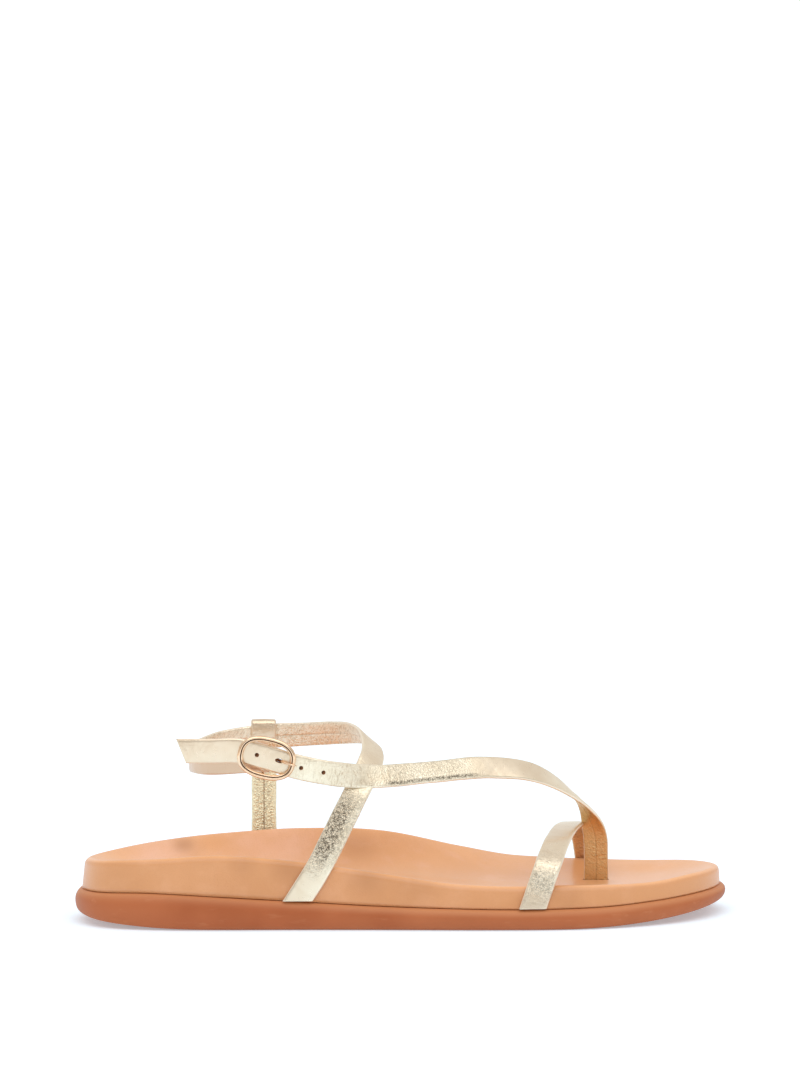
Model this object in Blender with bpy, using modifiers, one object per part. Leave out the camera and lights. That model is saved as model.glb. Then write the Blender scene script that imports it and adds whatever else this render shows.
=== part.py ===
"""A right-foot strappy sandal: a rubber outsole, a moulded footbed, an upper of folded straps and a buckle.

Tables and named sizes are in millimetres, and a mesh is scaled to metres as it is made. Along the shoe, x
runs from the back of the heel to the toe with the sole's outer side parallel to it, +y is the inner side of
the foot and z is up from the floor. The finished shoe is turned so that its heel-to-ball line lies along X.
"""

import math
from bisect import bisect_right
from collections import namedtuple

import bmesh
import bpy
from mathutils import Matrix, Vector

MM = 0.001
CLEARANCE = 0.3
MERGE_DISTANCE = 0.02
SHARP_ANGLE = math.radians(40)

# Driving dimensions of the sole
LENGTH = 262.0
BALL_WIDTH = 92.0
AXIS_TURN = math.radians(4.9)
TOE_SPRING = 6.1
TOE_SPRING_START = 195.0
HEEL_LIFT = 4.1
HEEL_LIFT_END = 58.0
EDGE_BULGE = 3.2
LOWER_FULLNESS = 0.5
LIP = 2.8
TOE_LIP = 2.3
TOE_LIP_START = 205.0
WALL_LEAN = 1.0
TOE_LEAN = 0.3
RIM_RADIUS = 3.0
SPINE_HEEL = 34.0
SPINE_TOE = 222.0
DISH_POWER = 0.6
RIBS = 52
OUTLINE_STEPS = 400
EDGE_STEPS = 8
RIM_STEPS = 4
UNDER_SHARES = (1.0, 0.5, 0.1)
DISH_SHARES = (0.07, 0.18, 0.34, 0.54, 0.77, 1.0)

# Driving dimensions of the straps
THONG_WIDTH = 9.8
ANKLE_WIDTH = 10.2
LOOP_WIDTH = 10.2
TOE_WIDTH = 10.4
STRAP_THICKNESS = 1.6
TAIL_SLANT = 4.0
STRAP_STEP = 3.0
FOLD_STEP = 0.8
FOLD_ANGLE = math.radians(35)
FOLD_SPAN = 3.0
SAMPLE_STEP = 0.2
JOIN_PRESS = 0.15
PUNCH_DIAMETER = 1.9
PUNCH_PITCH = 9.0
PUNCH_SEGMENTS = 12
PUNCHES = (-2, -1, 1)
THONG_X = 209.6
THONG_Y = 20.0
THONG_FOOT = 9.2
SLOT_ROOM = 0.4
FOOT_CLEARANCE = 0.5

# Driving dimensions of the buckle
BUCKLE_CENTRE = Vector((77.6, -37.5, 68.6))
BUCKLE_TILT = math.radians(13.6)
BUCKLE_LENGTH = 23.0
BUCKLE_HEIGHT = 16.8
BUCKLE_ROUNDNESS = 2.5
WIRE_RADIUS = 1.1
BAR_RADIUS = 0.7
PRONG_RADIUS = 0.55
STRAP_DEPTH = WIRE_RADIUS + CLEARANCE + STRAP_THICKNESS / 2
WRAP_RADIUS = BAR_RADIUS + CLEARANCE + STRAP_THICKNESS / 2
BAR_DEPTH = STRAP_DEPTH + STRAP_THICKNESS + CLEARANCE + WRAP_RADIUS
WRAP_DROP = 1.0
PRONG_HOLE_AT = 5.2
PRONG_HOLE_LENGTH = 4.8
PRONG_HOLE_WIDTH = 2.0
PRONG_SLOT_WIDTH = 2.2
PRONG_SLOT_LENGTH = 5 * WRAP_RADIUS
PRONG_TIP = 1.7
PRONG_STEPS = 18
EYE_STEPS = 16
RING_STEPS = 44
BAR_CORNER = 1.0
WIRE_RESOLUTION = 2

# One row for each section of the sole: along is a share of the length from the heel, lateral and medial are
# the outline's y as shares of the ball width, and the rest are heights above the floor
SoleRow = namedtuple("SoleRow", "along lateral medial lip_top lateral_rim medial_rim bed")
SOLE_ROWS = (
    SoleRow(0.000, -0.060, -0.060, 12.6, 24.6, 24.6, 19.3),
    SoleRow(0.038, -0.318, 0.190, 13.7, 26.3, 25.0, 19.3),
    SoleRow(0.127, -0.396, 0.300, 14.2, 27.7, 27.8, 19.3),
    SoleRow(0.230, -0.400, 0.305, 12.7, 29.0, 30.8, 19.0),
    SoleRow(0.346, -0.393, 0.320, 10.9, 26.5, 32.5, 18.3),
    SoleRow(0.460, -0.393, 0.380, 9.2, 22.3, 30.8, 16.4),
    SoleRow(0.577, -0.400, 0.480, 8.2, 17.8, 23.4, 13.9),
    SoleRow(0.660, -0.400, 0.550, 7.8, 16.8, 18.6, 12.6),
    SoleRow(0.730, -0.390, 0.600, 7.9, 17.0, 16.8, 12.1),
    SoleRow(0.800, -0.355, 0.610, 8.2, 16.8, 15.9, 11.8),
    SoleRow(0.888, -0.257, 0.570, 9.5, 16.8, 15.9, 12.2),
    SoleRow(0.946, -0.141, 0.489, 10.6, 18.2, 16.9, 13.3),
    SoleRow(1.000, 0.207, 0.207, 11.2, 18.5, 18.5, 13.3),
)

# One row for each bend of a strap: the middle of its thickness, and the way its outer face looks there
StrapRow = namedtuple("StrapRow", "x y z facing")


def clear_scene():
    for old in list(bpy.data.objects):
        bpy.data.objects.remove(old, do_unlink=True)


def new_collection(name):
    collection = bpy.data.collections.new(name)
    bpy.context.scene.collection.children.link(collection)
    return collection


def finish(name, colour, roughness, metallic=0.0):
    material = bpy.data.materials.new(name)
    material.use_nodes = True
    shader = material.node_tree.nodes["Principled BSDF"]
    shader.inputs["Base Color"].default_value = (*colour, 1.0)
    shader.inputs["Roughness"].default_value = roughness
    shader.inputs["Metallic"].default_value = metallic
    return material


def mesh_object(name, bm, collection, material=None):
    mesh = bpy.data.meshes.new(name)
    bm.to_mesh(mesh)
    bm.free()
    mesh.shade_smooth()
    mesh.set_sharp_from_angle(angle=SHARP_ANGLE)
    made = bpy.data.objects.new(name, mesh)
    collection.objects.link(made)
    if material:
        mesh.materials.append(material)
    return made


def mapped_grid(name, columns, rows, place, collection, material=None):
    """A grid of columns by rows cells whose points place(column, row) puts, with meeting edges welded."""
    bm = bmesh.new()
    bmesh.ops.create_grid(bm, x_segments=columns, y_segments=rows, size=1.0)
    for vertex in bm.verts:
        column = round((vertex.co.x + 1) / 2 * columns)
        row = round((vertex.co.y + 1) / 2 * rows)
        vertex.co = place(column, row) * MM
    bmesh.ops.remove_doubles(bm, verts=bm.verts, dist=MERGE_DISTANCE * MM)
    bmesh.ops.recalc_face_normals(bm, faces=bm.faces)
    return mesh_object(name, bm, collection, material)


def through(places, values, at):
    """The value at one place on a smooth curve through the values, which stand at rising places."""

    def secant(index):
        return (values[index + 1] - values[index]) / (places[index + 1] - places[index])

    def slope(index):
        if index == 0:
            return secant(0)
        if index == len(places) - 1:
            return secant(index - 1)
        before = places[index] - places[index - 1]
        after = places[index + 1] - places[index]
        return (secant(index - 1) * after + secant(index) * before) / (before + after)

    first = max(0, min(len(places) - 2, bisect_right(places, at) - 1))
    span = places[first + 1] - places[first]
    share = (at - places[first]) / span
    rest = 1 - share
    start = values[first] * ((1 + 2 * share) * rest**2) + slope(first) * (span * share * rest**2)
    end = values[first + 1] * (share**2 * (3 - 2 * share)) - slope(first + 1) * (span * share**2 * rest)
    return start + end


# The sole's outline and heights

def station_at(x):
    """Stations run from 0 at the heel to 1 at the toe, closer together in x where the ends round off."""
    return math.acos(1 - 2 * x / LENGTH) / math.pi


STATIONS = [station_at(row.along * LENGTH) for row in SOLE_ROWS]


def column(name, station):
    return through(STATIONS, [getattr(row, name) for row in SOLE_ROWS], station)


def edge(turn):
    """The outsole's outline from above. turn goes from -1 at the toe by the inner side to 0 at the heel and
    by the outer side to 1 at the toe."""
    turn = (turn + 1) % 2 - 1
    station = abs(turn)
    side = "lateral" if turn > 0 else "medial"
    return Vector((LENGTH * (1 - math.cos(math.pi * station)) / 2, column(side, station) * BALL_WIDTH))


def inward(turn):
    step = 1 / OUTLINE_STEPS
    ahead = edge(turn + step) - edge(turn - step)
    return Vector((-ahead.y, ahead.x)).normalized()


def spine_station(turn):
    return min(max(abs(turn), station_at(SPINE_HEEL)), station_at(SPINE_TOE))


def plan(turn, inset, share):
    """A point inset from the outline, then moved a share of the way to the sole's middle line."""
    middle_station = spine_station(turn)
    middle = (edge(middle_station) + edge(-middle_station)) / 2
    return (edge(turn) + inward(turn) * inset).lerp(middle, share)


def underside(x):
    """Flat on the floor under heel and forefoot, with a toe spring and a lift at the back of the heel."""
    toe = max(0.0, (x - TOE_SPRING_START) / (LENGTH - TOE_SPRING_START))
    heel = max(0.0, (HEEL_LIFT_END - x) / HEEL_LIFT_END)
    return TOE_SPRING * toe**2 + HEEL_LIFT * heel**2


def lip_height(turn, share):
    rim_end = column("lip_top", abs(turn))
    return rim_end + (column("lip_top", spine_station(turn)) - rim_end) * share


def rim_height(turn):
    return column("lateral_rim" if turn > 0 else "medial_rim", abs(turn))


def closed_section(half):
    """A half section from the middle underneath, round the edge, to the middle on top, then back on the inner
    side: pairs of the side's sign and the half section's row."""
    return [(1, row) for row in half] + [(-1, row) for row in reversed(half)] + [(1, half[0])]


def outsole_half():
    """Rows of inset, share of the way to the middle, and share of the height from underside to top."""
    rows = [(EDGE_BULGE, share, 0.0) for share in UNDER_SHARES]
    for step in range(EDGE_STEPS + 1):
        angle = math.pi * (step / EDGE_STEPS - 0.5)
        fullness = LOWER_FULLNESS if angle < 0 else 1.0
        rows.append((EDGE_BULGE * (1 - math.cos(angle) ** fullness), 0.0, (1 + math.sin(angle)) / 2))
    rows += [(EDGE_BULGE, share, 1.0) for share in reversed(UNDER_SHARES)]
    return rows


def make_outsole(collection, material):
    section = closed_section(outsole_half())

    def place(rib, index):
        side, (inset, share, rise) = section[index]
        turn = side * rib / RIBS
        point = plan(turn, inset, share)
        low = underside(point.x)
        return Vector((point.x, point.y, low + (lip_height(turn, share) - low) * rise))

    return mapped_grid("outsole", RIBS, len(section) - 1, place, collection, material)


def toeward(turn):
    """0 up to where the lip starts to narrow, rising to 1 at the toe."""
    return max(0.0, (edge(turn).x - TOE_LIP_START) / (LENGTH - TOE_LIP_START))


def lip(turn):
    """Width of the outsole's lip, narrower at the toe."""
    return LIP + (TOE_LIP - LIP) * toeward(turn)


def lean(turn):
    """How far the footbed's wall leans in over its height, least at the toe."""
    return WALL_LEAN + (TOE_LEAN - WALL_LEAN) * toeward(turn)


def wall_inset(turn, z):
    """How far the footbed's wall stands in from the outline at a height."""
    foot = lip_height(turn, 0.0)
    top = rim_height(turn) - RIM_RADIUS
    return lip(turn) + lean(turn) * min(1.0, max(0.0, (z - foot) / (top - foot)))


def dish_height(turn, share):
    bed = column("bed", spine_station(turn))
    return bed + (rim_height(turn) - bed) * math.cos(math.pi / 2 * share**DISH_POWER) ** 2


def footbed_half():
    """Rows of what the row lies on and how far along it lies."""
    rows = [("under", share) for share in UNDER_SHARES]
    rows += [("wall", share) for share in (0.0, 0.5)]
    rows += [("rim", step / RIM_STEPS) for step in range(RIM_STEPS + 1)]
    rows += [("dish", share) for share in DISH_SHARES]
    return rows


def footbed_point(turn, kind, share):
    rim = rim_height(turn)
    foot = lip_height(turn, 0.0) + CLEARANCE
    rim_inset = lip(turn) + lean(turn)
    if kind == "under":
        flat = plan(turn, lip(turn), share)
        return Vector((flat.x, flat.y, lip_height(turn, share) + CLEARANCE))
    if kind == "wall":
        flat = plan(turn, lip(turn) + lean(turn) * share, 0.0)
        return Vector((flat.x, flat.y, foot + (rim - RIM_RADIUS - foot) * share))
    if kind == "rim":
        angle = math.pi / 2 * share
        flat = plan(turn, rim_inset + RIM_RADIUS * (1 - math.cos(angle)), 0.0)
        return Vector((flat.x, flat.y, rim - RIM_RADIUS * (1 - math.sin(angle))))
    flat = plan(turn, rim_inset + RIM_RADIUS, share)
    return Vector((flat.x, flat.y, dish_height(turn, share)))


def make_footbed(collection, cutters, material):
    section = closed_section(footbed_half())

    def place(rib, index):
        side, (kind, share) = section[index]
        return footbed_point(side * rib / RIBS, kind, share)

    footbed = mapped_grid("footbed", RIBS, len(section) - 1, place, collection, material)
    room = Vector((THONG_WIDTH, STRAP_THICKNESS, 0)) + Vector((SLOT_ROOM, SLOT_ROOM, 0)) * 2
    slot_foot = THONG_FOOT - CLEARANCE
    slot_top = column("lateral_rim", station_at(THONG_X))
    size = Vector((room.x, room.y, slot_top - slot_foot))
    centre = Vector((THONG_X, THONG_Y, (slot_top + slot_foot) / 2))
    cut(footbed, box("thong_slot", centre, size, Matrix.Identity(3), cutters))
    return footbed


# Cutters and joins

def box(name, centre, size, turn, collection):
    bm = bmesh.new()
    bmesh.ops.create_cube(bm, size=1.0)
    for vertex in bm.verts:
        vertex.co = (centre + turn @ (vertex.co * size)) * MM
    return guide(mesh_object(name, bm, collection))


def guide(shape):
    shape.hide_render = True
    shape.display_type = "WIRE"
    return shape


def combine(target, other, operation):
    modifier = target.modifiers.new(other.name, "BOOLEAN")
    modifier.operation = operation
    modifier.solver = "EXACT"
    modifier.object = other


def cut(target, cutter):
    combine(target, cutter, "DIFFERENCE")


def join(target, other):
    combine(target, other, "UNION")


# The buckle's own directions: along the strap towards the toe, across it upwards, and out from the ankle

BUCKLE_ALONG = Vector((math.cos(BUCKLE_TILT), 0, -math.sin(BUCKLE_TILT)))
BUCKLE_ACROSS = Vector((math.sin(BUCKLE_TILT), 0, math.cos(BUCKLE_TILT)))
BUCKLE_OUT = Vector((0, -1, 0))
BUCKLE_TURN = Matrix((BUCKLE_ALONG, BUCKLE_ACROSS, BUCKLE_OUT)).transposed()


def at_buckle(along, across, out):
    return BUCKLE_CENTRE + BUCKLE_TURN @ Vector((along, across, out))


def buckle_row(along, across, out, facing=(0, 0, 1)):
    return StrapRow(*at_buckle(along, across, out), BUCKLE_TURN @ Vector(facing))


def free_row(x, y, z, *facing):
    return StrapRow(x, y, z, Vector(facing))


def wall_row(x, side, z):
    """A row lying flat against the footbed's wall, on the outer side (1) or the inner side (-1)."""
    turn = side * station_at(x)
    flat = plan(turn, wall_inset(turn, z) - CLEARANCE - STRAP_THICKNESS / 2, 0.0)
    out = -inward(turn)
    return StrapRow(flat.x, flat.y, z, Vector((out.x, out.y, 0)))


def lip_row(x, side):
    """The foot of a strap, just above the outsole's lip."""
    return wall_row(x, side, lip_height(side * station_at(x), 0.0) + FOOT_CLEARANCE)


# Each strap's rows, in order along it

OUTER, INNER = 1, -1
BAR_OUT = -BAR_DEPTH
BAND_ROW = free_row(74.6, 25.4, 69.6, 0, 0.99, 0.12)


def thong_rows():
    return (
        free_row(THONG_X, THONG_Y, THONG_FOOT, 0, 1, 0),
        free_row(THONG_X, THONG_Y, 20.5, 0, 1, 0),
        free_row(THONG_X - 0.7, 19.5, 31.6, 0.28, 0.9, 0.32),
        free_row(205.0, 16.7, 41.6, 0.74, 0.36, 0.57),
        free_row(197, 12.2, 49.7, 0.61, -0.15, 0.78),
        free_row(184, 5.2, 57.3, 0.38, -0.58, 0.72),
        free_row(166, -2.2, 60.4, 0.1, -0.82, 0.57),
        free_row(142, -13.1, 59.9, 0.1, -0.8, 0.6),
        free_row(118, -23.6, 59.6, 0, -0.92, 0.4),
        buckle_row(26, -0.6, -STRAP_DEPTH - 3.2),
        buckle_row(12, -0.8, -STRAP_DEPTH - 0.3),
        buckle_row(0, 0, -STRAP_DEPTH),
        buckle_row(-11, 0, -STRAP_DEPTH - 0.1),
        free_row(56, -33.3, 70.9, -0.1, -0.99, 0),
        free_row(41.8, -30, 70.5, -0.15, -0.98, 0.05),
    )


def ankle_rows():
    wrap = []
    for degrees in (90, 45, 0, -45, -90):
        side, up = math.cos(math.radians(degrees)), math.sin(math.radians(degrees))
        wrap.append(buckle_row(WRAP_RADIUS * side, -WRAP_DROP, BAR_OUT + WRAP_RADIUS * up, (side, 0, up)))
    return (
        lip_row(89.7, OUTER),
        wall_row(97.6, OUTER, 24),
        free_row(106.4, -30.5, 41.2, 0, -0.97, 0.2),
        free_row(113.2, -27.3, 54.6, 0.1, -0.9, 0.4),
        free_row(115.7, -24.2, 59.4, 0.1, -0.9, 0.42),
        free_row(118, -18.0, 63.6, 0.35, -0.8, 0.48),
        free_row(119.2, -11.0, 67.5, 0.5, -0.7, 0.5),
        free_row(117.8, -3.5, 71.4, 0.7, -0.4, 0.6),
        free_row(112.5, 7, 73.0, 0.75, 0.3, 0.55),
        free_row(104, 16.5, 72.2, 0.5, 0.8, 0.35),
        free_row(94, 21.8, 71.1, 0.2, 0.95, 0.24),
        BAND_ROW,
        free_row(58, 20.9, 67.6, -0.35, 0.93, 0.1),
        free_row(49, 9.5, 65.3, -0.8, 0.6, 0),
        free_row(46.4, -2.5, 64.3, -1, 0, 0),
        free_row(49, -16, 64.9, -0.8, -0.6, 0),
        free_row(55.5, -26, 65.6, -0.35, -0.93, 0),
        free_row(64, -31, 66.6, -0.1, -0.99, 0),
        buckle_row(-4.6, -2.4, BAR_OUT + WRAP_RADIUS - 0.4),
        *wrap,
        buckle_row(-3.6, -2.0, BAR_OUT - WRAP_RADIUS, (0, 0, -1)),
        buckle_row(-8.5, -3.6, BAR_OUT - WRAP_RADIUS + 1.4, (0, 0, -1)),
    )


def loop_rows():
    """Up the inner wall, over the ankle strap's upper edge and down behind it, pressed onto its faces."""
    band = Vector((BAND_ROW.x, BAND_ROW.y, BAND_ROW.z))
    out = BAND_ROW.facing.normalized()
    up = Vector((0, -out.z, out.y))
    legs = STRAP_THICKNESS - JOIN_PRESS
    fold_foot = ANKLE_WIDTH / 2 - JOIN_PRESS

    def by_band(side, rise, facing):
        return StrapRow(*(band + out * side + up * rise), facing)

    fold = []
    for degrees in (0, 45, 90, 135, 180):
        side, lift = math.cos(math.radians(degrees)), math.sin(math.radians(degrees))
        fold.append(by_band(legs * side, fold_foot + legs * lift, out * side + up * lift))
    return (
        lip_row(band.x, INNER),
        wall_row(band.x, INNER, 28),
        by_band(legs + 0.4, -10, out),
        *fold,
        by_band(-legs, -2.8, -out),
        by_band(0.9 - legs, -6.2, -out),
        by_band(0.25, -9, -out),
    )


def toe_rows():
    return (
        lip_row(182.4, OUTER),
        wall_row(185, OUTER, 15.5),
        free_row(187.6, -33.2, 23.5, 0, -0.9, 0.4),
        free_row(191.2, -22.3, 30.9, 0, -0.5, 0.87),
        free_row(194.4, -6, 34.0, 0, -0.15, 1),
        free_row(198.2, 14.3, 34.7, 0, 0.05, 1),
        free_row(202.2, 34.5, 32.2, 0, 0.3, 0.95),
        free_row(205.8, 48.5, 25.4, 0, 0.8, 0.6),
        wall_row(207.4, INNER, 15.5),
        lip_row(207.6, INNER),
    )


class Strap:
    """A strap's middle line and facing, by length along it."""

    def __init__(self, rows):
        self.points = [Vector((row.x, row.y, row.z)) for row in rows]
        self.facings = [row.facing.normalized() for row in rows]
        self.places = [0.0]
        for before, after in zip(self.points, self.points[1:]):
            self.places.append(self.places[-1] + (after - before).length)
        self.length = self.places[-1]

    def frame(self, along):
        """The middle point, the ways along and across, and the outward facing at a length along the strap."""
        point = through(self.places, self.points, along)
        ahead = through(self.places, self.points, min(self.length, along + SAMPLE_STEP))
        behind = through(self.places, self.points, max(0.0, along - SAMPLE_STEP))
        tangent = (ahead - behind).normalized()
        facing = through(self.places, self.facings, along)
        across = facing.cross(tangent).normalized()
        return point, tangent, across, tangent.cross(across)

    def nearest(self, target):
        samples = [step * SAMPLE_STEP for step in range(int(self.length / SAMPLE_STEP))]
        return min(samples, key=lambda along: (through(self.places, self.points, along) - target).length)

    def cuts(self):
        """Lengths along the strap where its sheet has an edge, closer together at tight folds."""
        found = [0.0]
        for start, end, before, after in zip(self.places, self.places[1:], self.facings, self.facings[1:]):
            tight = before.angle(after) > FOLD_ANGLE and end - start < FOLD_SPAN
            count = max(1, round((end - start) / (FOLD_STEP if tight else STRAP_STEP)))
            found += [start + (end - start) * (part + 1) / count for part in range(count)]
        return found


def strap_sheet(name, rows, width, collection, material=None, level_ends=(), slant=0.0):
    """An open strip through the rows, given its thickness. Ends that stand on the lip, 0 the first and 1 the
    last, are cut level, and a slant shortens the lower edge of the last end."""
    strap = Strap(rows)
    cuts = strap.cuts()

    def shift(along, offset, tangent, across):
        """How far a point moves along the strap to follow the cut of a nearby end."""
        moved = 0.0
        for end in level_ends:
            near = max(0.0, 1 - abs(end * strap.length - along) / width)
            moved -= near * across.z * offset / tangent.z if near else 0.0
        near_tail = max(0.0, 1 - (strap.length - along) / width)
        return moved - slant * near_tail * (0.5 + offset / width)

    def place(index, side):
        point, tangent, across, _ = strap.frame(cuts[index])
        offset = width * (0.5 - side)
        return point + across * offset + tangent * shift(cuts[index], offset, tangent, across)

    sheet = mapped_grid(name, len(cuts) - 1, 1, place, collection, material)
    wall = sheet.modifiers.new("thickness", "SOLIDIFY")
    wall.thickness = STRAP_THICKNESS * MM
    wall.offset = 0.0
    wall.use_even_offset = True
    return sheet


def punch(name, point, turn, length, width, collection):
    """A cutter through a strap: a round hole, or a long one where the prong leans through it."""
    bm = bmesh.new()
    bmesh.ops.create_cone(
        bm, cap_ends=True, segments=PUNCH_SEGMENTS, radius1=0.5, radius2=0.5, depth=STRAP_THICKNESS * 3
    )
    for vertex in bm.verts:
        flat = Vector((vertex.co.x * length, vertex.co.y * width, vertex.co.z))
        vertex.co = (point + turn @ flat) * MM
    return guide(mesh_object(name, bm, collection))


def make_upper(collection, cutters, material):
    upper = strap_sheet("upper", thong_rows(), THONG_WIDTH, collection, material, slant=TAIL_SLANT)
    ankle = guide(strap_sheet("ankle_strap", ankle_rows(), ANKLE_WIDTH, cutters, level_ends=(0,)))
    loop = guide(strap_sheet("side_loop", loop_rows(), LOOP_WIDTH, cutters, level_ends=(0,)))
    toe = guide(strap_sheet("toe_strap", toe_rows(), TOE_WIDTH, cutters, level_ends=(0, 1)))
    prong_hole = at_buckle(PRONG_HOLE_AT, 0, -STRAP_DEPTH)
    cut(upper, punch("prong_hole", prong_hole, BUCKLE_TURN, PRONG_HOLE_LENGTH, PRONG_HOLE_WIDTH, cutters))
    thong = Strap(thong_rows())
    prong_along = thong.nearest(prong_hole)
    for number in PUNCHES:
        point, tangent, across, facing = thong.frame(prong_along + number * PUNCH_PITCH)
        turn = Matrix((tangent, across, facing)).transposed()
        cut(upper, punch(f"punch_{number}", point, turn, PUNCH_DIAMETER, PUNCH_DIAMETER, cutters))
    slot_size = Vector((PRONG_SLOT_LENGTH, PRONG_SLOT_WIDTH, PRONG_SLOT_LENGTH))
    cut(ankle, box("prong_slot", at_buckle(0, 0, BAR_OUT), slot_size, BUCKLE_TURN, cutters))
    for strap in (ankle, loop, toe):
        join(upper, strap)
    return upper


# The buckle

def tube(name, points, radius, closed, collection, material=None):
    """A round wire through points, as a welded mesh that can be joined and cut."""
    curve = bpy.data.curves.new(name, "CURVE")
    curve.dimensions = "3D"
    curve.bevel_depth = radius * MM
    curve.bevel_resolution = WIRE_RESOLUTION
    curve.use_fill_caps = True
    spline = curve.splines.new("POLY")
    spline.points.add(len(points) - 1)
    for control, point in zip(spline.points, points):
        control.co = (*(point * MM), 1.0)
    spline.use_cyclic_u = closed
    wire = bpy.data.objects.new(name + "_wire", curve)
    collection.objects.link(wire)
    evaluated = wire.evaluated_get(bpy.context.evaluated_depsgraph_get())
    bm = bmesh.new()
    bm.from_mesh(bpy.data.meshes.new_from_object(evaluated))
    bmesh.ops.remove_doubles(bm, verts=bm.verts, dist=MERGE_DISTANCE * MM)
    bmesh.ops.recalc_face_normals(bm, faces=bm.faces)
    bpy.data.objects.remove(wire, do_unlink=True)
    return mesh_object(name, bm, collection, material)


def rounded(angle, half_length, half_height):
    """A point of a full, rounded oval."""
    side, up = math.cos(angle), math.sin(angle)
    power = 2 / BUCKLE_ROUNDNESS
    along = half_length * math.copysign(abs(side) ** power, side)
    return along, half_height * math.copysign(abs(up) ** power, up)


def make_buckle_frame(collection, cutters, material):
    half_length = BUCKLE_LENGTH / 2 - WIRE_RADIUS
    half_height = BUCKLE_HEIGHT / 2 - WIRE_RADIUS
    ring = []
    for step in range(RING_STEPS):
        angle = 2 * math.pi * step / RING_STEPS
        ring.append(at_buckle(*rounded(angle, half_length, half_height), 0))
    frame = tube("buckle_frame", ring, WIRE_RADIUS, True, collection, material)
    bar = []
    for side in (-1, 1):
        leg = [
            (half_height, 0.0),
            (half_height, BAR_OUT + BAR_CORNER),
            (half_height - BAR_CORNER * 0.3, BAR_OUT + BAR_CORNER * 0.3),
            (half_height - BAR_CORNER, BAR_OUT),
        ]
        points = [at_buckle(0, side * across, out) for across, out in leg]
        bar += points if side < 0 else reversed(points)
    join(frame, guide(tube("buckle_bar", bar, BAR_RADIUS, False, cutters)))
    return frame


def make_buckle_prong(collection, cutters, material):
    rim = BUCKLE_LENGTH / 2 - WIRE_RADIUS
    rest = WIRE_RADIUS + CLEARANCE + PRONG_RADIUS
    eye_radius = BAR_RADIUS + CLEARANCE + PRONG_RADIUS
    path = (
        Vector((eye_radius * 0.4, BAR_OUT + eye_radius)),
        Vector((PRONG_HOLE_AT * 0.6, BAR_OUT * 0.75)),
        Vector((PRONG_HOLE_AT, -STRAP_DEPTH - 0.2)),
        Vector((PRONG_HOLE_AT + 2.2, 0.0)),
        Vector((rim - 1.2, rest - 0.5)),
        Vector((rim, rest + 0.1)),
        Vector((rim + PRONG_TIP, rest - 0.3)),
    )
    places = [0.0]
    for before, after in zip(path, path[1:]):
        places.append(places[-1] + (after - before).length)
    shaft = []
    for step in range(PRONG_STEPS + 1):
        flat = through(places, path, places[-1] * step / PRONG_STEPS)
        shaft.append(at_buckle(flat.x, 0, flat.y))
    prong = tube("buckle_prong", shaft, PRONG_RADIUS, False, collection, material)
    eye = []
    for step in range(EYE_STEPS):
        angle = 2 * math.pi * step / EYE_STEPS
        eye.append(at_buckle(eye_radius * math.cos(angle), 0, BAR_OUT + eye_radius * math.sin(angle)))
    join(prong, guide(tube("prong_eye", eye, PRONG_RADIUS, True, cutters)))
    return prong


def set_on_origin(parts, cutters):
    """Turns the heel-to-ball line along X and puts the middle of the outsole's box over the origin, by
    hanging every object on one empty."""
    turned = Matrix.Rotation(-AXIS_TURN, 2)
    outline = [turned @ edge(step / OUTLINE_STEPS - 1) for step in range(2 * OUTLINE_STEPS)]
    across = [point.y for point in outline]
    along = [point.x for point in outline]
    base = bpy.data.objects.new("sandal", None)
    parts.objects.link(base)
    for shape in (*parts.objects, *cutters.objects):
        if shape != base:
            shape.parent = base
    base.location = Vector((-(max(along) + min(along)) / 2, -(max(across) + min(across)) / 2, 0)) * MM
    base.rotation_euler.z = -AXIS_TURN


clear_scene()
sandal_parts = new_collection("strappy_sandal")
sandal_cutters = new_collection("cutters")
make_outsole(sandal_parts, finish("terracotta_rubber", (0.46, 0.14, 0.055), 0.55))
make_footbed(sandal_parts, sandal_cutters, finish("tan_leather", (0.70, 0.36, 0.18), 0.5))
make_upper(sandal_parts, sandal_cutters, finish("gold_leather", (0.78, 0.66, 0.47), 0.35, 0.8))
make_buckle_frame(sandal_parts, sandal_cutters, finish("rose_gold_frame", (0.80, 0.55, 0.36), 0.2, 1.0))
make_buckle_prong(sandal_parts, sandal_cutters, finish("rose_gold_prong", (0.80, 0.55, 0.36), 0.2, 1.0))
set_on_origin(sandal_parts, sandal_cutters)
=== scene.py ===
import math
from collections import namedtuple

import bmesh
import bpy
import numpy as np
from mathutils import Matrix, Vector


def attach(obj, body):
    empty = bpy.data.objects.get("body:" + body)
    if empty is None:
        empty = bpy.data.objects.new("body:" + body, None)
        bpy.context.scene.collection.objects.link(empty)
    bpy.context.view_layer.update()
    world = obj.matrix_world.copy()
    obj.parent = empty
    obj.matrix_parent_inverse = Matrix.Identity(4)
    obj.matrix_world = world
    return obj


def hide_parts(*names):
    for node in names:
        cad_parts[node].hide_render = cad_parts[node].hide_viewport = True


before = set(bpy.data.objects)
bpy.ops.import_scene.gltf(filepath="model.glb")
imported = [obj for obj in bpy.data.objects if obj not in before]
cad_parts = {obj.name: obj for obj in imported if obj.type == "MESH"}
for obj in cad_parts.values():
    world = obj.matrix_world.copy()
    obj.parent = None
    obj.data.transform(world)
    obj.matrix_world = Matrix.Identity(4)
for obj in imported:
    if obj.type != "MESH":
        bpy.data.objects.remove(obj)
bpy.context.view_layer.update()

# Outsole
# One moulded rubber sole in terracotta, with a half-round edge that stands proud of the footbed, a toe spring
# and a small lift at the back of the heel. Fine wavy grooves are moulded in its underside.

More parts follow.
